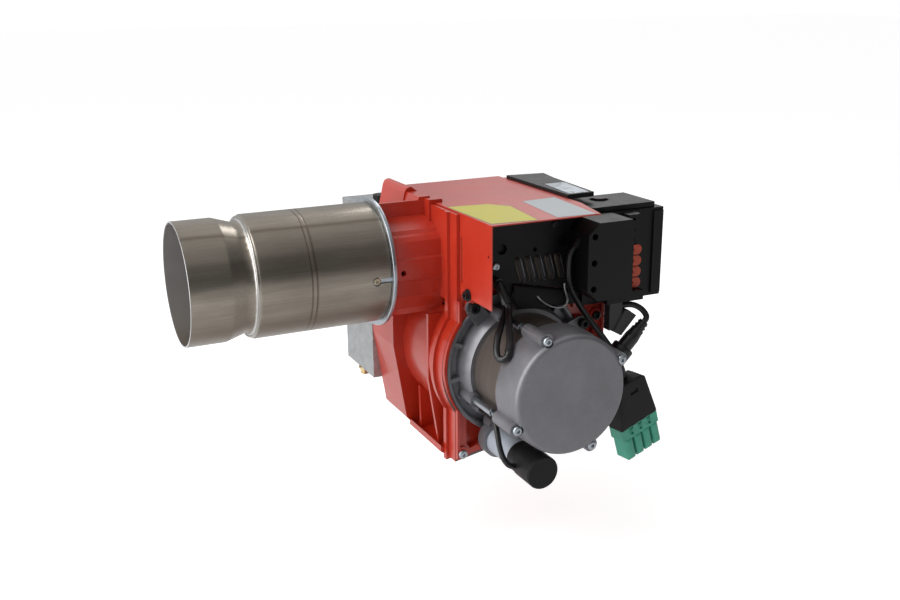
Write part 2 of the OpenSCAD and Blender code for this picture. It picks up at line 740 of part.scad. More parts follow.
// Socket base under the mains plug, with the row of terminal lobes beside it
module terminal_block() {
    color(BLACK) from_ring() difference() {
        union() {
            block([unit_x - 1.5, base_near + gap, -41], [244, unit_near, 44]);
            block([196, -112, -41], [238, base_near + 1, plug_z - 1 - gap]);
            for (k = [0:2]) translate([0, 0, 38.5 - 10.2 * k])
                bar_y(-105, base_near + 1, 5, x = key_x, z = 0);
            block([key_x - 12, -105, 14], [key_x, base_near + 1, 43]);
        }
        for (k = [0:2]) bar_y(-106, -101, 1.8, x = key_x - 6, z = 38 - 10 * k);
        block([unit_x, unit_near - 2, -1], [186, unit_near + 1, 40]);
    }
}

module terminal_keys() {
    color("orangered") from_ring() for (k = [0:3]) difference() {
        union() {
            bar_y(-104, base_near + gap, 5, x = key_x, z = 7.6 - 11 * k);
            block([key_x - 10, -104, 2.6 - 11 * k], [key_x, base_near + gap, 12.6 - 11 * k]);
        }
        bar_y(-105, -101, 1.6, x = key_x - 5, z = 7.6 - 11 * k);
    }
}

// Seven pole plug with the chamfered left corners and three screw wells
module mains_plug() {
    w = plug_w;
    h = plug_h;
    lead_way = unit(mains_route[1] - mains_route[0]);
    color(BLACK) from_ring() difference() {
        union() {
            translate([plug_x, 0, plug_z]) slab_y(base_near - plug_t, base_near) polygon([[0, 11],
                [12, 0], [w - 2, 0], [w, 2], [w, h - 2], [w - 2, h], [12, h], [0, h - 11]]);
            translate(mains_route[0]) rotate([0, acos(lead_way[2]), 180])
                translate([0, 0, -10]) cylinder(h = 10, r = 4.2);
        }
        for (k = [0:2]) translate([plug_x + 7, 0, plug_z + 12.5 + (h - 25) / 2 * k])
            bar_y(base_near - plug_t - 1, base_near - plug_t + 12, 3.1, x = 0, z = 0);
        block([plug_x + 6, base_near - 9, plug_z + 8], [plug_x + w - 4, base_near + 1, plug_z + h - 8]);
    }
}

module mains_lead() {
    color(BLACK) from_ring() cord(mains_route, 2.9);
}

// Moulded sleeve that the loop lead comes out of, under the panel's step
module loop_sleeve() {
    color(BLACK) from_ring() {
        p0 = [81.5, -105, -6];
        way = [85, -115, -24] - p0;
        translate(p0) rotate([0, acos(way[2] / norm(way)), atan2(way[1], way[0])]) union() {
            cylinder(h = norm(way), r1 = 3.9, r2 = 4.6);
            translate([0, 0, norm(way) - 5]) cylinder(h = 5, r = 5.2);
        }
        bar_y(-106, panel_near, 4, x = 81.5, z = -6);
    }
}

module loop_lead() {
    color(BLACK) from_ring() cord(loop_route, 3.2);
}

module motor_lead() {
    color(BLACK) from_ring() cord(motor_route, 3);
}

plug_top = [239, -114.3, -63];
plug_way = unit([-19, 5, -24.8]);
// Ribbed boot and round coupling of the motor's plug
module motor_plug() {
    color(BLACK) from_ring() translate(plug_top)
        rotate([0, acos(plug_way[2]), atan2(plug_way[1], plug_way[0])]) rotate_extrude()
            polygon([[0, 0], [4.6, 0], [4.6, 1.4], [5.4, 1.6], [5.4, 3.4], [4.8, 3.6], [4.8, 5.4],
                [5.9, 5.6], [5.9, 7.4], [5.3, 7.6], [5.3, 9.4], [6.4, 9.6], [6.6, 14], [7.6, 20],
                [7.6, 31], [10, 31.5], [11, 33], [11, 46], [0, 46]]);
}

module side_connector() {
    color("dimgray") from_ring() union() {
        slab_y(-111, -101) polygon([[217.8, -50], [222, -49.8], [232, -57], [214.7, -75.5],
            [205.5, -70.2]]);
        block([201, -109.5, -69], [216, -100, -41]);
    }
}

// Four pole plug hanging on its lead: w along X, turned by the lean
hang_top = [209, -127, -114];
hang_lean = -15.6;
module hang() {
    translate(hang_top) rotate([0, hang_lean, 0]) rotate([0, 0, 8]) children();
}

module plug_hood() {
    color(BLACK) from_ring() hang() difference() {
        slab_y(-10, 10) polygon([[-10, 0], [14, 0], [18, -3], [24, -46], [-24, -46], [-14, -3]]);
        block([-4, -11, -14], [6, -8.6, -9]);
        block([-20, -7.6, -47], [20, 7.6, -34]);
    }
}

module plug_insert() {
    color("mediumseagreen") from_ring() hang() difference() {
        union() {
            block([-23.4, -9.4, -58], [23.4, 9.4, -46 - gap]);
            block([-19.7, -7.3, -46 - gap], [19.7, 7.3, -36]);
            for (k = [0:3]) translate([-17.1 + 11.4 * k, 0, 0]) block([-4.6, -8.4, -80], [4.6, 8.4, -57]);
        }
        for (k = [0:2]) translate([-11.7 + 11.7 * k, 0, 0]) {
            bar_y(-11, -5, 1.6, x = 0, z = -53);
            block([-2.4, -11, -49], [2.4, -8.2, -45]);
        }
        for (k = [0:3]) translate([-17.1 + 11.4 * k, 0, -81]) cylinder(h = 16, r = 2.2);
    }
}

// Motor

bearing_r = 16;
bore_r = shaft_d / 2 + run_fit;
clamp_x = 87;
clamp_z = -165;
floor_near = web_near + 3.8;
floor_far = floor_near + 2;
module motor_flange() {
    ring = motor_ring_d / 2;
    color(ALU) from_ring() difference() {
        union() {
            spin_fan() polygon([[ring - 3.3, motor_near], [ring - 0.6, motor_near],
                [ring, motor_near + 0.6], [ring, web_near], [pilot_r, web_near],
                [pilot_r, floor_far], [bearing_r, floor_far], [bearing_r, web_near - 10],
                [bearing_r + 4, web_near - 10], [bearing_r + 4, floor_near], [48, floor_near],
                [48, boss_near], [stator_r + 4, boss_near], [stator_r + 6.5, boss_near + 4],
                [61.5, floor_near], [pilot_r - 1.3, floor_near], [pilot_r - 1.3, web_near]]);
            for (a = [0, 45, 90, 158, 188, 250, 337]) translate([fan_x, 0, fan_z]) rotate([0, -a, 0]) {
                block([58, motor_near - 0.2, -2], [ring - 2, web_near - 0.3, 2]);
                block([58, motor_near - 0.2, -2], [pilot_r - 0.5, floor_near + 0.5, 2]);
            }
            at_bolts() {
                bar_y(boss_near - 6, floor_near + 0.5, 6.2, x = 0, z = 0);
                block([-8, boss_near - 0.2, -6.2], [0, floor_near + 0.5, 6.2]);
            }
            for (k = [0:2]) translate([fan_x, 0, fan_z]) rotate([0, -motor_bolt_angle[k], 0]) {
                block([55, ear_near, -8], [motor_bolt_r, plate_front, 8]);
                block([55, plate_front - 1, -8], [pilot_r - 0.5, floor_near + 0.5, 8]);
                bar_y(ear_near, plate_front, 7, x = motor_bolt_r, z = 0);
            }
            bar_y(-100, -88, capacitor_d / 2 + 3.5, x = clamp_x, z = clamp_z);
            slab_y(-98, plate_front - gap) polygon([[96, -141], [78, -134], [76, -151], [92, -150]]);
            bar_y(-100, floor_near + 0.5, 4, x = capacitor_route[0][0], z = capacitor_route[0][2]);
            slab_y(-104, plate_front - gap) polygon([[166, -97], [190, -102], [208, -108],
                [200, -122], [166, -122]]);
            translate(plug_top + 46.6 * plug_way)
                rotate([0, acos(plug_way[2]), atan2(plug_way[1], plug_way[0])])
                cylinder(h = 18, r = 9.5);
        }
        bar_y(-101, -87, capacitor_d / 2 + 0.1, x = clamp_x, z = clamp_z);
        bar_y(boss_near - 0.1, floor_near - 0.1, 48);
        bar_y(-107, boss_near - 0.1, stator_r + gap);
        at_bolts() bar_y(boss_near - 7, floor_near - 1, 2.55, x = 0, z = 0);
        for (k = [0:2]) motor_bolt(k) bar_y(ear_near - 1, plate_front + 1, 3.2, x = 0, z = 0);
    }
}

module stator() {
    color([0.42, 0.36, 0.33]) from_ring() difference() {
        union() {
            bar_y(skirt_back, boss_near - 0.1, stator_r);
            bar_y(skirt_back - 12, boss_near + 8, stator_r - 8);
        }
        bar_y(skirt_back - 13, boss_near + 9, 31.5);
    }
}

module end_shield() {
    r = motor_r;
    color(ALU) from_ring() difference() {
        union() {
            spin_fan() polygon([[0, motor_face], [r - 5.5, motor_face],
                for (a = [0:15:90]) [r - 5 + 4.2 * sin(a), motor_face + 5 - 5 * cos(a)],
                [r, motor_face + 24], [r, skirt_back - 3], [r - 0.6, skirt_back],
                [stator_r - 8 + 0.4, skirt_back], [stator_r - 8 + 0.4, skirt_back - 15],
                [44, motor_face + 5], [bearing_r + 4, motor_face + 4],
                [bearing_r + 4, motor_face + 14], [bearing_r, motor_face + 14],
                [bearing_r, motor_face + 4], [0, motor_face + 4]]);
            at_bolts() {
                bar_y(lug_under, skirt_back, 6.6, x = 0, z = 0);
                block([-10, lug_under, -6.6], [0, skirt_back, 6.6]);
            }
        }
        at_bolts() bar_y(lug_under - 1, skirt_back + 1, 2.8, x = 0, z = 0);
        at_bolts() bar_y(motor_face - 1, lug_under, 5.2, x = 0, z = 0);
    }
}

module through_bolts() {
    color(STEEL) from_ring() at_bolts() difference() {
        union() {
            bar_y(lug_under - 3.4, lug_under, 4.4, x = 0, z = 0);
            bar_y(lug_under - 1, boss_near + 8, 2.5, x = 0, z = 0);
        }
        bar_y(lug_under - 4, lug_under - 1.2, 1.7, x = 0, z = 0, $fn = 6);
    }
}

// Spacer sleeves on the through bolts between the two shields
module bolt_sleeves() {
    color("lightgray") from_ring() at_bolts() difference() {
        bar_y(skirt_back + 11, boss_near - 6, 3.7, x = 0, z = 0);
        bar_y(skirt_back + 10, boss_near - 5, 2.6, x = 0, z = 0);
    }
}

shaft_r = shaft_d / 2;
shaft_far = -34;
module motor_shaft() {
    color(STEEL) from_ring() spin_fan() polygon([[0, motor_face + 5.5], [shaft_r - 0.6, motor_face + 5.5],
        [shaft_r, motor_face + 6], [shaft_r, shaft_far - 0.6], [shaft_r - 0.6, shaft_far],
        [0, shaft_far]]);
}

module rotor_core() {
    color("gray") from_ring() difference() {
        union() {
            bar_y(skirt_back, boss_near, 31);
            bar_y(skirt_back - 6, boss_near + 6, 28);
        }
        bar_y(skirt_back - 7, boss_near + 7, shaft_r + seat_fit);
    }
}

module motor_bearings() {
    color(STEEL) from_ring() for (y = [motor_face + 4, web_near - 8]) spin_fan() difference() {
        translate([bore_r, y]) square([bearing_r - bore_r - seat_fit, 10]);
        for (e = [-0.5, 9.5]) translate([bore_r + 3, y + e]) square([bearing_r - bore_r - 6, 1]);
    }
}

wheel_near = -68;
module fan_wheel() {
    r = wheel_d / 2;
    far = wheel_near + wheel_w;
    color("gainsboro") from_ring() {
        spin_fan() polygon([[shaft_r + seat_fit, wheel_near - 3], [11, wheel_near - 3], [11, wheel_near],
            [r, wheel_near], [r, wheel_near + 1.2], [11, wheel_near + 1.2], [11, wheel_near + 22],
            [shaft_r + seat_fit, wheel_near + 22]]);
        slab_y(wheel_near + 1, far - 1) translate([fan_x, fan_z]) for (k = [0:blades - 1])
            rotate(360 * k / blades) translate([r - 12, 0]) rotate(32)
                polygon([[0, -0.5], [6, -1.3], [12.6, -0.5], [12.6, 0.5], [6, -0.3], [0, 0.5]]);
        spin_fan() translate([r - 12, far - 1.2]) square([12, 1.2]);
    }
}

pump_shaft_near = 40;
module shaft_coupling() {
    y0 = wheel_near + 26;
    color("white") from_ring() difference() {
        union() {
            bar_y(y0, pump_shaft_near + 12, 9);
            bar_y(y0, y0 + 12, 12);
            bar_y(pump_shaft_near - 2, pump_shaft_near + 12, 12);
        }
        bar_y(y0 - 1, shaft_far, shaft_r + seat_fit);
        bar_y(pump_shaft_near, pump_shaft_near + 13, 4 + seat_fit);
    }
}

module pump_shaft() {
    color(STEEL) from_ring() bar_y(pump_shaft_near, far_y + 28, 4);
}

// Oil pump on the far side, in line with the motor

pump_y = far_y + gap;
module pump_body() {
    h = pump_side / 2;
    color(ALU) from_ring() difference() {
        union() {
            bar_y(far_y - 9, pump_y + 1, pump_hub_r);
            slab_y(pump_y, pump_y + 8) translate([fan_x, fan_z]) circle(r = 35);
            slab_y(pump_y + 7, pump_y + pump_d) translate([fan_x, fan_z]) difference() {
                square(2 * h, center = true);
                for (a = [45:90:315]) rotate(a) translate([h * 1.32, -20]) square(40);
            }
            translate([fan_x, pump_y + 24, fan_z + h - 1]) cylinder(h = 13, r = 13);
            bar_x(fan_x + h - 1, fan_x + h + 8, 9, y = pump_y + 25, z = -80);
        }
        bar_y(far_y - 10, far_y + 28, 4 + run_fit);
        bar_y(far_y - 10, far_y - 4, 14);
        for (k = [0:2]) pump_bolt(k) bar_y(pump_y - 1, pump_y + 9, 2.8, x = 0, z = 0);
        for (x = [-11, 11]) translate([fan_x + x, pump_y + 28, fan_z - h - 1])
            cylinder(h = 13, r = 5.7);
        bar_x(fan_x + h, fan_x + h + 9, 3.2, y = pump_y + 25, z = -80);
    }
}

module pump_cover() {
    h = pump_side / 2 - 1;
    y = pump_y + pump_d;
    color(ALU) from_ring() difference() {
        union() {
            slab_y(y, y + 6) translate([fan_x, fan_z]) difference() {
                square(2 * h, center = true);
                for (a = [45:90:315]) rotate(a) translate([h * 1.3, -20]) square(40);
            }
            bar_y(y + 5, y + 12, 15);
            for (a = [45:90:315]) translate([fan_x + 0.82 * h * cos(a), 0, fan_z + 0.82 * h * sin(a)])
                bar_y(y + 5, y + 9, 4, x = 0, z = 0);
        }
        bar_y(y + 7, y + 13, 4, $fn = 6);
    }
}

module pump_valve() {
    z0 = fan_z + pump_side / 2 + 12;
    color(BLACK) from_ring() union() {
        translate([fan_x, pump_y + 24, z0]) cylinder(h = 30, r = 16);
        translate([fan_x, pump_y + 24, z0 + 29]) cylinder(h = 4, r = 7, $fn = 6);
        block([fan_x + 8, pump_y + 12, z0 + 3], [fan_x + 30, pump_y + 36, z0 + 26]);
    }
}

module oil_pipe() {
    color("peru") from_ring() cord(oil_route, 2.5, 10);
}

// Air intake on the far side

box_x = 24.3;
box_top = 35;
box_y = far_y + gap;
spindle_x = box_x + 24;
spindle_y = box_y + 24;
module intake_box() {
    w = box_w;
    d = box_d;
    z0 = box_top - box_h;
    color("lightgray") from_ring() difference() {
        union() {
            difference() {
                block([box_x, box_y, z0], [box_x + w, box_y + d, box_top]);
                block([box_x + box_t, box_y + box_t, z0 + box_t],
                    [box_x + w - box_t, box_y + d - box_t, box_top - box_t]);
                block([42, box_y - 1, -139], [69, box_y + 2, -54]);
                block([box_x + w - 2, box_y + 14, z0 + 14], [box_x + w + 1, box_y + d - 8, -10]);
            }
            translate([spindle_x, spindle_y, z0]) cylinder(h = 6, r = 7);
            translate([spindle_x, spindle_y, box_top - 5]) cylinder(h = 5, r = 7);
        }
        translate([spindle_x, spindle_y, z0 - 1]) cylinder(h = box_h + 2, r = 4 + run_fit);
    }
}

module box_fitting() {
    color("darkgoldenrod") from_ring() translate([30, box_y + 40, box_top - box_h]) {
        translate([0, 0, -8]) cylinder(h = 8, r = 5.5, $fn = 6);
        translate([0, 0, -2]) cylinder(h = 2, r = 7);
    }
}

module air_damper() {
    z0 = box_top - box_h;
    color(STEEL) from_ring() union() {
        translate([spindle_x, spindle_y, z0 - 3]) cylinder(h = box_h + 8, r = 4);
        block([spindle_x - flap_w / 2, spindle_y - 0.8, z0 + 8],
            [spindle_x + flap_w / 2, spindle_y + 0.8, box_top - 8]);
    }
}

module damper_knob() {
    color(BLACK) from_ring() difference() {
        union() {
            translate([spindle_x, spindle_y, box_top + 1]) cylinder(h = 9, r = 9);
            block([spindle_x - 2, spindle_y, box_top + 1], [spindle_x + 2, spindle_y + 16, box_top + 5]);
        }
        translate([spindle_x, spindle_y, box_top]) cylinder(h = 5, r = 4 + seat_fit);
    }
}

// Run capacitor under the motor

module capacitor() {
    r = capacitor_d / 2;
    color("white") from_ring() translate([clamp_x, 0, clamp_z]) rotate([-90, 0, 0]) rotate_extrude()
        polygon([[0, -141], [r - 1, -141], [r, -140], [r, -90], [r - 3, -87], [0, -87]]);
}

module capacitor_cap() {
    r = capacitor_d / 2;
    color(BLACK) from_ring() translate([clamp_x, 0, clamp_z]) rotate([-90, 0, 0]) rotate_extrude()
        polygon([[0, -181], [r, -181], [r + 1.3, -179.5], [r + 1.3, -152], [r + 0.6, -150],
            [r + 0.6, -140.3], [r + 0.05, -140.3], [r + 0.05, -141], [0, -141]]);
}

module capacitor_lead() {
    color(BLACK) from_ring() cord(capacitor_route, 2.6);
}

blast_tube();
tube_screws();
flange_ring();
nozzle_line();
nozzle_holder();
oil_nozzle();
brake_plate();
electrode_insulators();
electrode_rods();
ignition_transformer();
flame_sensor();
fan_housing();
housing_gasket();
motor_plate();
plate_screws();
motor_bolts();
cover();
cover_screws();
rear_trim();
badge_plate();
electrics_panel();
panel_screws();
wire_hook();
control_unit();
control_lid();
reset_button();
terminal_block();
terminal_keys();
mains_plug();
mains_lead();
loop_sleeve();
loop_lead();
motor_lead();
motor_plug();
side_connector();
plug_hood();
plug_insert();
motor_flange();
stator();
end_shield();
through_bolts();
bolt_sleeves();
rotor_core();
motor_shaft();
motor_bearings();
fan_wheel();
shaft_coupling();
pump_shaft();
pump_body();
pump_cover();
pump_valve();
oil_pipe();
intake_box();
box_fitting();
air_damper();
damper_knob();
capacitor();
capacitor_cap();
capacitor_lead();
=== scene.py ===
"""Looks of an oil burner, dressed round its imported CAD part.

Every length in this file is in millimetres in the part's own frame, unless a name ends in _m. The
frame's origin is on the blast tube's axis at the front of the zinc ring, X runs along the tube with its
mouth towards -X, the motor is towards -Y, and Z is up. Places behind the ring are written from its rear
face, as in the CAD source, and behind_ring moves them into the frame.
"""

from __future__ import annotations

import json
import logging
import math
from dataclasses import dataclass, field
from enum import Enum, StrEnum

import bmesh
import bpy
import numpy as np
from mathutils import Matrix, Vector

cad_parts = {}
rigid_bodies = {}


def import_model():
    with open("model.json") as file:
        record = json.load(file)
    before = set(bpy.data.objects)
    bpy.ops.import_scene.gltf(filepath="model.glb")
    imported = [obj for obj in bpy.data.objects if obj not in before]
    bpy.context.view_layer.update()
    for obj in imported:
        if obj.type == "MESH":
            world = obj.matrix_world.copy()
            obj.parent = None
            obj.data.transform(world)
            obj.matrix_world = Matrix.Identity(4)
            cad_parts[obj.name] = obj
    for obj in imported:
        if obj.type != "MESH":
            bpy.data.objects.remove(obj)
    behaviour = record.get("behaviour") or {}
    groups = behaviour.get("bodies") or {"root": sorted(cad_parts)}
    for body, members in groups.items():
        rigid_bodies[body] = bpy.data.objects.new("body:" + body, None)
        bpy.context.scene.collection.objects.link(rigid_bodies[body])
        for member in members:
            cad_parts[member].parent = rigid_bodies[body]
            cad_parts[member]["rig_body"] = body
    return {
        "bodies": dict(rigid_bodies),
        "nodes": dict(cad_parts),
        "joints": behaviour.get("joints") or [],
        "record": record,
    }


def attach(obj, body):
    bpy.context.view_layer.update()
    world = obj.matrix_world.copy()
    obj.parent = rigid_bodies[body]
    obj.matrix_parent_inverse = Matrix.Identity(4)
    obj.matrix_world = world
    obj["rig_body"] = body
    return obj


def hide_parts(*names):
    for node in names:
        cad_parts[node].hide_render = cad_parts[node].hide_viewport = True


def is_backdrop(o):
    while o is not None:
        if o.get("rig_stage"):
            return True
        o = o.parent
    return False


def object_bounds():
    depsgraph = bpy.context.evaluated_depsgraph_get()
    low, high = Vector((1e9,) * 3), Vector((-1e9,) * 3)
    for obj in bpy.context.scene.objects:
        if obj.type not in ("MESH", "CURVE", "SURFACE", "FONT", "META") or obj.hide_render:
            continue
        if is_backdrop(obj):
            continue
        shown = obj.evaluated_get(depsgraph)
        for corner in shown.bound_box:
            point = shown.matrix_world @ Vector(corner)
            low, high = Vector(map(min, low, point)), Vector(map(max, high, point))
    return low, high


LOG = logging.getLogger("oil_burner")
MM = 0.001
RING = 4.0  # thickness of the zinc ring
WELD_M = 0.000002  # points nearer than this are one
SHARP_DEGREES = 40.0  # edges of a new piece that are sharper stay sharp
RECESS_LOBES = 6  # lobes of a screw's recess
UPRIGHT = 0.8  # a direction whose Z is past this counts as upright
NEAR = (0.0, -1.0, 0.0)  # towards the motor's side
Point = tuple[float, float, float]
Colour = tuple[float, float, float]
Pairs = tuple[tuple[float, float], ...]
Socket = bpy.types.NodeSocket


class Axis(Enum):
    """An axis of the part's frame."""

    X = 0
    Y = 1
    Z = 2


class FarEnd(StrEnum):
    """What a cord ends in."""

    OBJECT = "object"
    PLUG = "plug"


# Surfaces


@dataclass(frozen=True)
class Grid:
    """Rows of points on a surface, joined into quads.

    Attributes:
        points: Array of rows by columns by 3, in millimetres.
        round_columns: Whether the last column joins the first one.
        round_rows: Whether the last row joins the first one.
        caps: Whether the first and the last row are closed with a face.
    """

    points: np.ndarray
    round_columns: bool = True
    round_rows: bool = False
    caps: bool = True

    def faces(self, first: int) -> list[tuple[int, ...]]:
        """Faces of the grid.

        Args:
            first: Index of its first point in the whole mesh.

        Returns:
            The quads, and the two end faces where the grid is capped.
        """
        rows, columns, _ = self.points.shape
        index = first + np.arange(rows * columns).reshape(rows, columns)
        ends = [tuple(index[0].tolist()), tuple(index[-1, ::-1].tolist())] if self.caps else []
        if self.round_rows:
            index = np.vstack([index, index[:1]])
        if self.round_columns:
            index = np.hstack([index, index[:, :1]])
        quads = np.stack([index[:-1, :-1], index[1:, :-1], index[1:, 1:], index[:-1, 1:]], axis=-1)
        return [tuple(quad) for quad in quads.reshape(-1, 4).tolist()] + ends


def behind_ring(points: np.ndarray | list[Point]) -> np.ndarray:
    """Points written from the ring's rear face, moved into the frame."""
    return np.array(points, float) + (RING, 0.0, 0.0)


def smooth_path(points: np.ndarray, steps: int = 5) -> np.ndarray:
    """Curve through points: the cubic whose slope at each point is half the way between its neighbours.

    Args:
        points: The points, in millimetres.
        steps: Pieces between two of them.

    Returns:
        The points of the curve.
    """
    knots = np.vstack([2 * points[0] - points[1], points, 2 * points[-1] - points[-2]])
    t = np.linspace(0.0, 1.0, steps, endpoint=False)[:, None]
    parts = [0.5 * (2 * b + (c - a) * t + (2 * a - 5 * b + 4 * c - d) * t**2
                    + (3 * b - a - 3 * c + d) * t**3)
             for a, b, c, d in zip(knots, knots[1:], knots[2:], knots[3:])]
    return np.vstack([*parts, points[-1:]])


def carried(path: np.ndarray, outline: np.ndarray, side: Point = (0.0, 0.0, 1.0)) -> np.ndarray:
    """Outline carried along a path: P(i, k) = c(i) + x(k) n(i) + y(k) b(i).

    The side n is kept square to the heading t and turns no more than it must; b = t x n.

    Args:
        path: The points c, in millimetres.
        outline: The x and y of the outline's points, the same on each row or one set a row.
        side: The first side n.

    Returns:
        Rows of points, one row for each point of the path.
    """
    heading = np.gradient(path, axis=0)
    heading /= np.linalg.norm(heading, axis=1, keepdims=True)
    outlines = np.broadcast_to(outline, (len(path), *outline.shape[-2:]))
    n = np.array(side, float)
    rows = []
    for centre, t, shape in zip(path, heading, outlines):
        n = n - t * (n @ t)
        n = n / np.linalg.norm(n)
        rows.append(centre + shape[:, :1] * n + shape[:, 1:] * np.cross(t, n))
    return np.array(rows)


def circle(radius: float, steps: int = 20) -> np.ndarray:
    """Outline of a circle."""
    turn = np.linspace(0.0, 2 * np.pi, steps, endpoint=False)
    return radius * np.column_stack([np.cos(turn), np.sin(turn)])


def blunt(u: np.ndarray, power: int, least: float) -> np.ndarray:
    """Share of the full size along a rib: sqrt(1 - u^power), with 1 - u^power no lower than the least."""
    return np.sqrt(np.clip(1 - u**power, least, 1.0))


@dataclass(frozen=True)
class Rib:
    """Half-round rib that stands on a face towards -Y, blunt at both ends.

    Attributes:
        half: Half its width w.
        height: Its height h.
        foot: How far it goes on below the face.
        rounding: The power p of its height, and the least that 1 - u^p comes down to.
        pinch: The same for its width, with the power q; a least of 1 keeps it as wide.
        rows: Rows of points along it.
        columns: Columns across it.
    """

    half: float
    height: float
    foot: float
    rounding: tuple[int, float]
    pinch: tuple[int, float] = (8, 1.0)
    rows: int = 21
    columns: int = 13

    def between(self, start: Point, end: Point) -> np.ndarray:
        """Along u in -1..1 and across t in 0..pi: height h sqrt(1 - u^p) sin t, side w sqrt(1 - u^q) cos t.

        Args:
            start: Middle of its foot where u is -1.
            end: Middle of its foot where u is 1.

        Returns:
            Rows of points.
        """
        u = np.linspace(-1.0, 1.0, self.rows)[:, None]
        t = np.linspace(0.0, np.pi, self.columns)
        path = np.array(start) + (np.array(end) - np.array(start)) * (u + 1) / 2
        rise = self.height * blunt(u, *self.rounding) * np.sin(t)
        side = self.half * blunt(u, *self.pinch) * np.cos(t)
        below = np.full((self.rows, 2), -self.foot)
        shape = np.stack([np.hstack([rise, below]), np.hstack([side, side[:, [-1, 0]]])], axis=-1)
        return carried(path, shape, NEAR)


def spun(profile: list[tuple[float, float, float]], centre: Point, way: Point,
         steps: int = 48) -> np.ndarray:
    """Profile spun about a line.

    P(i, k) = o + s(i) a + (r(i) + m(i) cos(n t(k))) (u cos t(k) + w sin t(k)), with n the recess's lobes.

    Args:
        profile: Radius r, distance s along the line and ripple m of each row.
        centre: The point o on the line.
        way: The line's direction a.
        steps: Columns in one turn.

    Returns:
        Rows of points, one row for each point of the profile.
    """
    a = np.array(way) / np.linalg.norm(way)
    upright = abs(a[2]) > UPRIGHT
    u = np.cross(a, (0.0, 1.0, 0.0) if upright else (0.0, 0.0, 1.0))
    u /= np.linalg.norm(u)
    w = np.cross(a, u)
    turn = np.linspace(0.0, 2 * np.pi, steps, endpoint=False)[None, :, None]
    r, s, m = (column[:, None, None] for column in np.array(profile, float).T)
    ripple = m * np.cos(RECESS_LOBES * turn)
    return np.array(centre) + s * a + (r + ripple) * (u * np.cos(turn) + w * np.sin(turn))


# Finishes


def greys(stops: list[tuple[float, float]] | Pairs) -> list[tuple[float, Colour]]:
    """Stops of a ramp that runs through plain greys."""
    return [(place, (share, share, share)) for place, share in stops]


